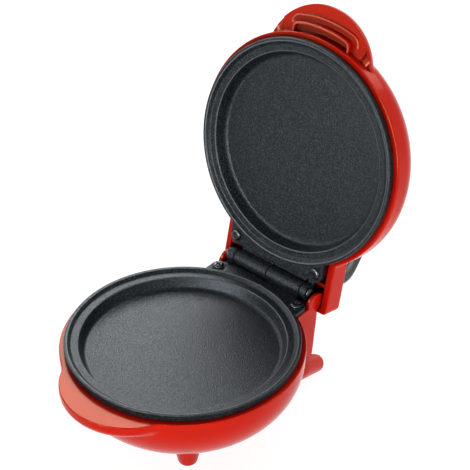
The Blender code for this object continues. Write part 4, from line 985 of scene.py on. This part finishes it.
def base_profile(heading):
    """The base's section at a heading, from its inner pole up, over the rim and down to its outer pole."""
    floor, ceiling, deep = housing_depth - SHELL_THICKNESS, SHELL_THICKNESS, BOWL_DEPTH - SHELL_THICKNESS
    tongue_end = TONGUE_EDGE + TONGUE_DEPTH
    points = [(0, -RIM_DROP - deep)]
    points += side_points(inner_reach, heading, spaced(deep, floor, 14), BOWL)
    points += side_points(inner_reach, heading, [floor] + spaced(floor, ceiling, 10), BOWL, BASE_ROOM)
    points.append((ledge_radius, -RIM_DROP - ceiling))
    points += softened([(ledge_radius, -RIM_DROP - ceiling / 2), (ledge_radius, -RIM_DROP, EDGE),
                        (ledge_radius + 3 * EDGE, -RIM_DROP)])[1:]
    points += rim_arc(base_outer(heading, 0), RIM_ROUNDING)
    depths = spaced(RIM_ROUNDING, tongue_end, 30) + spaced(tongue_end, housing_depth - HOUSING_ROUNDING, 14)
    depths += [housing_depth - HOUSING_ROUNDING * (1 - sin(turn)) for turn in quarter()[1:]]
    points += side_points(base_outer, heading, depths)
    depths = [housing_depth] + round_depths(BOWL, housing_depth, 16)
    points += side_points(base_outer, heading, depths, 0, False)
    points[-1] = (0, -RIM_DROP - BOWL_DEPTH)
    return points


def body_cutter(grow):
    """The base's outer form as a plain solid, to seat the feet on."""
    def profile(heading):
        wall = side_points(base_outer, heading, [0] + spaced(0, housing_depth, 24), grow)
        depths = [housing_depth] + spaced(housing_depth, BOWL_DEPTH, 16)
        bowl = side_points(base_outer, heading, depths, grow, False)
        bowl[-1] = (0, bowl[-1][1])
        return [(0, -RIM_DROP)] + wall + [(reach, up - grow) for reach, up in bowl]
    return polar("cutter", headings(), profile)


def make_ears():
    """Two thin rounded ears on the housing's sides."""
    centre = (hinge_back + EAR_CENTRE_BACK, HINGE_RISE - EAR_CENTRE_DROP)
    sweep = hypot(EAR_CENTRE_BACK + EAR_RADIUS, EAR_CENTRE_DROP)
    reach = housing_back - hinge_back - RIM_ROUNDING
    outline = arc(centre, EAR_RADIUS, 0, pi, 24) + [(centre[0] - EAR_RADIUS, -2 * RIM_DROP)]
    outline += arc((hinge_back, HINGE_RISE), sweep, -acos(reach / sweep),
                   atan2(-EAR_CENTRE_DROP, EAR_CENTRE_BACK + EAR_RADIUS), 8)[:-1]
    return [side_slab("ear", outline, side * (housing_half_width - EAR_THICKNESS),
                      side * (housing_half_width - SKIM)) for side in (-1, 1)]


def screw_bosses(low):
    """Two hollow screw bosses under the flange."""
    profile = [(0, low + SHELL_THICKNESS), (SCREW_RADIUS + GAP, low + SHELL_THICKNESS),
               (SCREW_RADIUS + GAP, -RIM_DROP - GAP), (BOSS_RADIUS, -RIM_DROP - GAP),
               (BOSS_RADIUS, low), (0, low)]
    return [turned("boss", profile, FEW_ROUND, (side * SCREW_SPREAD, screw_back)) for side in (-1, 1)]


def make_base_shell():
    """Red bowl with its tongue, hinge housing, ears and screw bosses."""
    shell = polar("red_base", headings(*BASE_BANDS), base_profile)
    gather(shell, *make_ears(), *screw_bosses(-RIM_DROP - SCREW_LENGTH))
    return dress(shell, BASE, "base", RED, "base_shell")


def lid_outer(heading, down, with_block=True):
    """Outer reach of the lid at a depth: dome, handle and hinge housing."""
    reach = round_reach(DOME, down)
    side = handle_side(heading, -RIM_DROP - down)
    if side and handle_rim(heading, shell_radius) > -RIM_DROP - down:
        reach = blended(reach, side)
    if with_block:
        inset = tucked(down, LID_HOUSING_DEPTH)
        reach = blended(reach, block_reach(heading, arm_outer - inset, lid_housing_back - inset,
                                           2 * HOUSING_ROUNDING))
    return reach


def pocket_section(heading):
    """Section of the handle: down the shell's wall, along the pocket's floor and over the lip."""
    outer = handle_side(heading)
    if outer <= shell_radius:
        return [(shell_radius, handle_rim(heading, shell_radius))] * (POCKET_STEPS + 2 * ARC_STEPS + 4)
    inner = max(handle_side(heading, inset=HANDLE_WALL), shell_radius)
    room = inner - shell_radius
    bend = min(FILLET, room / 2)
    points = []
    for out in [room * sin(turn) for turn in quarter(POCKET_STEPS)]:
        hollow = bend - sqrt(bend ** 2 - max(bend - out, 0) ** 2)
        points.append((shell_radius + out, min(handle_floor(heading, shell_radius + out) + hollow,
                                               handle_rim(heading, shell_radius + out))))
    lip = min(LIP_ROUNDING, (outer - inner) / 2)
    near, far = handle_rim(heading, inner), handle_rim(heading, outer)
    return points + softened([(inner, min(near - lip, points[-1][1])), (inner, near, lip), (outer, far, lip),
                              (outer, far - lip)])[1:]


def lid_profile(heading):
    """The lid's section at a heading, from its inner pole, over the rim and to its outer pole."""
    roof = LID_HOUSING_DEPTH - SHELL_THICKNESS
    points = [(0, -RIM_DROP - DOME_DEPTH + SHELL_THICKNESS)]
    depths = round_depths(DOME, roof, 14, -SHELL_THICKNESS, inward=True)
    points += side_points(inner_reach, heading, depths, DOME)
    points += side_points(inner_reach, heading, [roof] + spaced(roof, 0, 6)[:-1], DOME, LID_ROOM)
    mouth = inner_reach(heading, 0, DOME, LID_ROOM)
    points += softened([(mouth, -RIM_DROP - 2 * EDGE), (mouth, -RIM_DROP, EDGE),
                        (mouth + 2 * EDGE, -RIM_DROP)])
    rear_share = eased((min(heading, 2 * pi - heading) - pi / 3) / (pi / 3))
    rounding = RIM_ROUNDING + (HOUSING_ROUNDING - RIM_ROUNDING) * rear_share
    points += rim_arc(lid_outer(heading, 0), rounding)
    section = pocket_section(min(heading, pi / 3) if heading < pi else max(heading, 5 * pi / 3))
    wall_end = -section[0][1] - RIM_DROP
    if rear_share > 0:
        wall_end = wall_end * (1 - rear_share) + 2 * HOUSING_ROUNDING * rear_share
        section = [(lid_outer(heading, wall_end), -RIM_DROP - wall_end)] * len(section)
    points += side_points(lid_outer, heading, spaced(rounding, wall_end, 6)[:-1]) + section
    top = -section[-1][1] - RIM_DROP
    low = HANDLE_DROP + HANDLE_DEPTH + 2 * HANDLE_ROOF
    front = [top + (low - top) * sin(turn) for turn in quarter(HANDLE_LEVELS)[1:]]
    side = LID_HOUSING_DEPTH - HOUSING_ROUNDING
    rear = spaced(2 * HOUSING_ROUNDING, side, HANDLE_LEVELS - ARC_STEPS)
    rear += [side + HOUSING_ROUNDING * sin(turn) for turn in quarter()[1:]]
    levels = [one * (1 - rear_share) + two * rear_share for one, two in zip(front, rear)]
    points += side_points(lid_outer, heading, levels)
    points += side_points(lid_outer, heading, [levels[-1]] + round_depths(DOME, levels[-1], 30), False)
    points[-1] = (0, -RIM_DROP - DOME_DEPTH)
    return points


def make_rib(offset, half_width, drop):
    """A thin round-topped wall in the pocket, its ends turned in to the shell and kept inside the handle."""
    radius = shell_radius + offset
    root = -sqrt((shell_radius - RIB_THICKNESS) ** 2 - half_width ** 2)
    corner = -sqrt(radius ** 2 - half_width ** 2)
    sweep = RIB_ARC_SHARE * asin(half_width / radius)
    path = softened([(-half_width, root), (-half_width, corner, RIB_CORNER)]
                    + arc((0, 0), radius, -pi / 2 - sweep, sweep - pi / 2, 30)
                    + [(half_width, corner, RIB_CORNER), (half_width, root)], 0, 8)
    half, high = RIB_THICKNESS / 2, -RIM_DROP - drop
    section = [(-half, 0), (half, 0)] + arc((0, high - half), half, 0, pi, 8)
    loops = []
    for index, spot in enumerate(path):
        way = Vector(path[min(index + 1, len(path) - 1)]) - Vector(path[max(index - 1, 0)])
        across = Vector((way.y, -way.x)).normalized()
        loop = []
        for off, up in section:
            x, y = Vector(spot) + across * off
            reach, heading = hypot(x, y), atan2(x, -y)
            if up == 0:
                up = handle_floor(heading, reach) - HANDLE_ROOF / 2
            shrink = min(1, handle_side(heading, up, HANDLE_WALL / 2, HANDLE_ROOF / 2) / reach)
            loop.append((x * shrink, y * shrink, up))
        loops.append(loop)
    # The rib's round top is marked for a painted highlight at half strength
    return painted_highlight_share(skin("rib", loops), lambda spot: 0.5 if spot.z > high - half / 2 else 0.0)


def make_lid_shell():
    """Red dome with its handle, ribs, hinge housing with side arms, partition, bosses and lens hole."""
    shell = polar("red_lid", headings(*LID_BANDS), lid_profile)
    hole = rod("hole", (0, 0, -RIM_DROP - DOME_DEPTH - SHELL_THICKNESS), (0, 0, 1),
               [(0, LENS_RADIUS + GAP), (3 * SHELL_THICKNESS, LENS_RADIUS + GAP)])
    # The shell itself gets no painted highlight; its layer is made here so that the ribs gathered into it
    # keep theirs
    painted_highlight_share(cut(shell, hole), lambda spot: 0.0)
    roof_z, half = -RIM_DROP - LID_HOUSING_DEPTH, arm_inner + GAP
    front, back = partition_back, partition_back + PARTITION_THICKNESS
    outline = [(-half, front), (half, front), (half, back), (-half, back)]
    gather(shell, slab("partition", outline, roof_z + GAP, -RIM_DROP - GAP), make_rib(*INNER_RIB),
           make_rib(*OUTER_RIB), *screw_bosses(roof_z + GAP))
    return dress(shell, LID, "lid", RED, "lid_shell")


# Plates and hinge

def barrel(start, end):
    """A knuckle on the hinge axis with softened ends."""
    run = end - start
    stations = softened([(0, 0), (0, BARREL_RADIUS, EDGE), (run, BARREL_RADIUS, EDGE), (run, 0)], 0, 4)[1:-1]
    return rod("knuckle", (start, hinge_back, HINGE_RISE), (1, 0, 0), stations)


def make_cradle():
    """A hollow lip that runs from the flange under the other half's knuckle."""
    near, far = BARREL_RADIUS + CRADLE_GAP, BARREL_RADIUS + CRADLE_GAP + CRADLE_THICKNESS
    top = -FLANGE_DROP - HINGE_RISE - SKIM
    root = flange_back - hinge_back - EDGE
    outline = arc((0, 0), near, pi + asin(-top / near), pi + CRADLE_SWEEP, 16)
    outline += arc((0, 0), far, pi + CRADLE_SWEEP, pi + CRADLE_ROOT, 8)
    outline += [(root, -far * sin(CRADLE_ROOT)), (root, top)]
    outline = [(hinge_back + y, HINGE_RISE + z) for y, z in outline]
    return side_slab("cradle", outline, -knuckle_end, -GAP, 2 * GAP / 3)


def hollow_post(form, rounding, segments=SMALL_ROUND, centre=(0, 0)):
    """A post under the plate with a blind hole up its middle."""
    radius, length, bore, bottom = form
    top, end, stop = underside_z + GAP, underside_z - length, underside_z - bottom
    profile = softened([(0, top), (radius, top), (radius, end, rounding), (bore, end, rounding),
                        (bore, stop), (0, stop)], 0, 3)
    return turned("post", profile, segments, centre)


def make_plate(name, place, body, node):
    """Black casting: stepped rim, shallow dish, rear flange with seat rings, long knuckle and short ear."""
    skirt_inner = ledge_radius - 2 * GAP
    plate = turned(name, softened([
        (0, -DISH_DEPTH), (floor_radius, -DISH_DEPTH, DISH_ROUNDING),
        (ring_inner, -LIP_STEP_DROP, STEP_ROUNDING), (ring_outer, -LIP_STEP_DROP, 2 * GAP),
        (lip_inner, 0, INNER_LIP_ROUNDING), (PLATE_RADIUS, 0, 2 * EDGE), (PLATE_RADIUS, skirt_z, GAP),
        (skirt_inner, skirt_z, GAP), (skirt_inner - LIP_WIDTH, skirt_z - LIP_WIDTH, SKIRT_ROUNDING),
        (floor_radius + PLATE_THICKNESS, underside_z, UNDERSIDE_ROUNDING), (0, underside_z)]))
    # Painted highlights along the rim's edges, each fading over a short reach
    edges = [(lip_inner, 0, 1.0), (ring_inner, -LIP_STEP_DROP, 1.0), (PLATE_RADIUS, 0, 0.6),
             (floor_radius, -DISH_DEPTH, 0.5)]
    painted_highlight_share(plate, lambda spot: max(
        share * max(1 - hypot(hypot(spot.x, spot.y) - radius, spot.z - height) / HIGHLIGHT_REACH, 0)
        for radius, height, share in edges))
    inner = PLATE_RADIUS - LIP_WIDTH / 2
    spread = atan2(flange_half_width, sqrt(inner ** 2 - flange_half_width ** 2))
    corner = flange_half_width - SCREW_SPREAD
    outline = arc((0, 0), inner, pi / 2 - spread, pi / 2 + spread, 40)
    outline += arc((-SCREW_SPREAD, flange_back - corner), corner, pi, pi / 2, 10)
    outline += arc((SCREW_SPREAD, flange_back - corner), corner, pi / 2, 0, 10)
    parts = [slab("flange", outline, skirt_z, -FLANGE_DROP)]
    web_front, web_low = flange_back - FLANGE_MARGIN, HINGE_RISE - BARREL_RADIUS
    for start, end in ((GAP, knuckle_end), (-short_ear_end, -short_ear_start)):
        web = [(start, web_front), (end, web_front), (end, hinge_back), (start, hinge_back)]
        parts += [slab("web", web, web_low, web_low + WEB_THICKNESS), barrel(start, end)]
    parts.append(make_cradle())
    low, high, stop = -FLANGE_DROP - GAP, -FLANGE_DROP + SEAT_RISE, -FLANGE_DROP + GAP / 2
    seat = softened([(0, low), (SEAT_RADIUS, low), (SEAT_RADIUS, high, FINE_ROUNDING),
                     (SEAT_BORE, high, FINE_ROUNDING), (SEAT_BORE, stop), (0, stop)], 0, 3)
    parts += [turned("seat", seat, SMALL_ROUND, (side * SCREW_SPREAD, screw_back)) for side in (-1, 1)]
    parts.append(hollow_post(REFLECTOR_POST, GAP))
    for side in (-1, 1):
        parts.append(hollow_post(BRACKET_POST, FINE_ROUNDING, FEW_ROUND, (side * POST_SPREAD, POST_SPREAD)))
    gather(plate, *parts)
    return dress(plate, place, body, COATING, node)


def headed(tip, radius, length, head_radius, head_height, head_shares, rim, dome):
    """Stations of a shank with a chamfered tip and a domed head."""
    side, top = length + head_height * head_shares[0], length + head_height
    return softened([(0, radius - tip), (2 * GAP, radius), (length, radius), (length, head_radius, rim),
                     (side, head_radius, dome), (top, head_radius * head_shares[1], dome), (top, POLE)], 0, 5)


def make_screw(name, place, body, side, node):
    """A pan-head screw with a worn cross recess."""
    seat, length = GAP - FLANGE_DROP, SCREW_LENGTH - RIM_DROP
    head = headed(GAP, SCREW_RADIUS, length, SCREW_HEAD_RADIUS, SCREW_HEAD_HEIGHT, SCREW_HEAD_SHARES,
                  FINE_ROUNDING, 2 * GAP)
    screw = rod(name, (0, 0, seat - length), (0, 0, 1), head)
    top = seat + SCREW_HEAD_HEIGHT
    for wide, deep in ((CROSS_LENGTH, CROSS_WIDTH), (CROSS_WIDTH, CROSS_LENGTH)):
        low = [(-wide / 2, -deep / 2), (wide / 2, -deep / 2), (wide / 2, deep / 2), (-wide / 2, deep / 2)]
        cut(screw, skin("slot", [[(x, y, top - CROSS_DEPTH) for x, y in low],
                                 [(x * 2, y * 2, top + CROSS_WIDTH) for x, y in low]]))
    mean, step = CROSS_ANGLES
    spin = Matrix.Rotation(radians(step * side + mean), 4, "Z")
    screw.data.transform(Matrix.Translation((side * SCREW_SPREAD, screw_back, 0)) @ spin)
    return dress(screw, place, body, BLACK_STEEL, node)


def make_pin():
    """Hinge pin with a domed head, and the spring clip on its far end."""
    stations = headed(2 * GAP, PIN_RADIUS, pin_head_start + pin_end, PIN_HEAD_RADIUS, PIN_HEAD_LENGTH,
                      PIN_HEAD_SHARES, GAP, 2 * EDGE)
    pin = rod("steel_hinge_pin", (-pin_end, hinge_back, HINGE_RISE), (1, 0, 0), stations)
    dress(pin, BASE, "base", BLACK_STEEL, "hinge_pin")
    bore = PIN_RADIUS + GAP
    ring = softened([(bore, 0), (CLIP_RADIUS, 0), (CLIP_RADIUS, CLIP_THICKNESS), (bore, CLIP_THICKNESS)],
                    FINE_ROUNDING, 3, closed=True)
    loops = [[(-pin_head_start - along, hinge_back + radius * cos(turn), HINGE_RISE + radius * sin(turn))
              for turn in all_round(SMALL_ROUND)] for radius, along in ring]
    dress(skin("spring_clip", loops, closed=True), BASE, "base", BLACK_STEEL, "hinge_clip")


def make_feet():
    """Front feet under the bowl and raked rear feet, each seated on the base's skin."""
    lean = FRONT_FOOT_REACH * sqrt(1 / 2)
    front = softened([(0, POLE), (0, FOOT_TIP_RADIUS, FOOT_ROUNDING),
                      (GROUND_GAP + BOWL_DEPTH / 3, FRONT_FOOT_ROOT_RADIUS)], 0, 10)
    length = REAR_FOOT_ROOT_RUN + REAR_FOOT_LENGTH
    end = length + REAR_FOOT_EXTRA
    rear = softened([(0, POLE), (0, REAR_FOOT_ROOT_RADIUS),
                     (REAR_FOOT_ROOT_RUN, REAR_FOOT_ROOT_RADIUS, REAR_FOOT_BEND),
                     (end, FOOT_TIP_RADIUS, FOOT_ROUNDING), (end, POLE)], 0, 10)
    down = Vector((0, cos(REAR_FOOT_RAKE), -sin(REAR_FOOT_RAKE)))
    tip_z = FOOT_TIP_RADIUS * cos(REAR_FOOT_RAKE) - rim_height - REAR_FOOT_SIT
    for label, side in (("left", -1), ("right", 1)):
        foot = rod("red_front_foot_" + label, (side * lean, -lean, -rim_height), (0, 0, 1), front, FOOT_ROUND)
        dress(cut(foot, body_cutter(GAP)), BASE, "base", RED_FOOT, "front_foot_" + label)
        tip = Vector((side * REAR_FOOT_ACROSS, hinge_back + REAR_FOOT_OVERHANG, tip_z))
        foot = rod("red_rear_foot_" + label, tip - down * length, down, rear, FOOT_ROUND)
        floor = skin("ground", [[(x, y, z) for x, y in GROUND_CORNERS]
                                for z in (-2 * rim_height, -rim_height)])
        dress(cut(foot, body_cutter(GAP), floor), BASE, "base", RED_FOOT, "rear_foot_" + label)


def make_lens():
    """Domed amber lens in the top of the lid."""
    low = -RIM_DROP - DOME_DEPTH
    seat = low + SHELL_THICKNESS + LENS_SEAT_GAP
    top = seat + LENS_FLANGE
    profile = [(LENS_RADIUS * sin(turn), low - LENS_RISE * cos(turn)) for turn in quarter(8)]
    profile += softened([(LENS_RADIUS, seat), (LENS_FLANGE_RADIUS, seat, FINE_ROUNDING),
                         (LENS_FLANGE_RADIUS, top, FINE_ROUNDING), (0, top)], 0, 3)
    dress(turned("amber_indicator", profile, SMALL_ROUND), LID, "lid", AMBER, "indicator_lens")


# Finishes of the inner pieces, which keep the part's own shapes
NODE_FINISHES = {
    SHEATH: ["lower_heating_element", "upper_heating_element"],
    ALUMINIUM: ["lower_reflector", "upper_reflector"],
    BRIGHT_STEEL: ["lower_reflector_screw", "upper_reflector_screw", "thermostat_bracket",
                   "bracket_screw_left", "bracket_screw_right"],
    CERAMIC: ["thermostat", "thermal_fuse", "terminal_block"],
    SLEEVE_RED: ["lead_live", "lead_switched", "lead_fused", "lamp_lead_live"],
    SLEEVE_WHITE: ["lead_neutral", "lamp_lead_neutral"],
    CORD_BLACK: ["cord_inner_end"],
    LAMP_GLASS: ["indicator_lamp"],
}


# Stage

def maths(tree, operation, one, two):
    """A Math node of an output with another output or a number."""
    node = tree.nodes.new("ShaderNodeMath")
    node.operation = operation
    tree.links.new(one, node.inputs[0])
    if isinstance(two, bpy.types.NodeSocket):
        tree.links.new(two, node.inputs[1])
    else:
        node.inputs[1].default_value = two
    return node.outputs[0]


def seen_rays(tree):
    """One for camera, glossy and transmission rays, and zero for the rest."""
    paths = tree.nodes.new("ShaderNodeLightPath").outputs
    either = maths(tree, "MAXIMUM", paths["Is Camera Ray"], paths["Is Glossy Ray"])
    return maths(tree, "MAXIMUM", either, paths["Is Transmission Ray"])


def shader_mix(tree, share, one, two):
    """Mix two shader nodes by a share."""
    mix = add(tree, "MixShader", Fac=share)
    tree.links.new(one.outputs[0], mix.inputs[1])
    tree.links.new(two.outputs[0], mix.inputs[2])
    return mix.outputs[0]


def world_light():
    """Dim surroundings for the light, and plain white where the camera, gloss or glass sees them."""
    world = bpy.data.worlds.new("studio")
    world.use_nodes = True
    tree = world.node_tree
    tree.nodes.clear()
    fill = add(tree, "Background", Color=(1, 1, 1), Strength=FILL_STRENGTH)
    white = add(tree, "Background", Color=(1, 1, 1), Strength=1)
    add(tree, "OutputWorld", Surface=shader_mix(tree, seen_rays(tree), fill, white))
    bpy.context.scene.world = world


def soft_box(name, around, over, power, size, gloss_only=False):
    """A large lamp at a heading from the front and a height angle; one kind shows in reflections alone."""
    around, over = radians(around), radians(over)
    way = Vector((sin(around) * cos(over), -cos(around) * cos(over), sin(over)))
    lamp = bpy.data.lights.new(name, "AREA")
    lamp.shape = "RECTANGLE"
    lamp.size, lamp.size_y = size
    lamp.energy = power
    holder = bpy.data.objects.new(name, lamp)
    holder.location = Vector(LAMP_TARGET) + way * LAMP_DISTANCE
    holder.rotation_mode = "QUATERNION"
    holder.rotation_quaternion = (-way).to_track_quat("-Z", "Y")
    holder.visible_diffuse = not gloss_only
    bpy.context.scene.collection.objects.link(holder)


def pale_floor():
    """Matt pale floor that looks white to the camera, in gloss and through glass, and keeps soft shadows."""
    material, tree, shader = new_material("pale_floor", (0.8, 0.8, 0.8), 0.9)
    pale = clouds(tree, 12, 3, (0.80, 0.80, 0.80), (0.78, 0.78, 0.78))
    feed(tree, shader, Specular_IOR_Level=0.1, Base_Color=pale)
    white = add(tree, "Emission", Strength=FLOOR_GLOW)
    share = maths(tree, "MULTIPLY", seen_rays(tree), FLOOR_GLOW_SHARE)
    feed(tree, tree.nodes["Material Output"], Surface=shader_mix(tree, share, shader, white))
    return material


def make_stage():
    """Pale floor, lamps and plain view settings."""
    bm = bmesh.new()
    bmesh.ops.create_grid(bm, x_segments=8, y_segments=8, size=FLOOR_HALF)
    floor = mesh_object("floor", bm)
    floor.location.z = -FLOOR_DROP
    floor.data.materials.append(pale_floor())
    for lamp in LAMPS:
        soft_box(*lamp)
    for lamp in GLINTS:
        soft_box(*lamp, gloss_only=True)
    bpy.context.scene.view_settings.view_transform = "Standard"


make_camera()
world_light()
make_stage()
make_cord()
make_relief()
make_base_shell()
make_lid_shell()
for prefix, place, body, right in (("lower", BASE, "base", 1), ("upper", LID, "lid", -1)):
    make_plate(prefix + "_cast_plate", place, body, prefix + "_plate")
    for label, side in (("left", -right), ("right", right)):
        make_screw(prefix + "_screw_" + label, place, body, side, prefix + "_plate_screw_" + label)
make_pin()
make_feet()
make_lens()
for material, names in NODE_FINISHES.items():
    for node in names:
        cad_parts[node].data.materials.clear()
        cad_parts[node].data.materials.append(material)

bpy.context.view_layer.update()
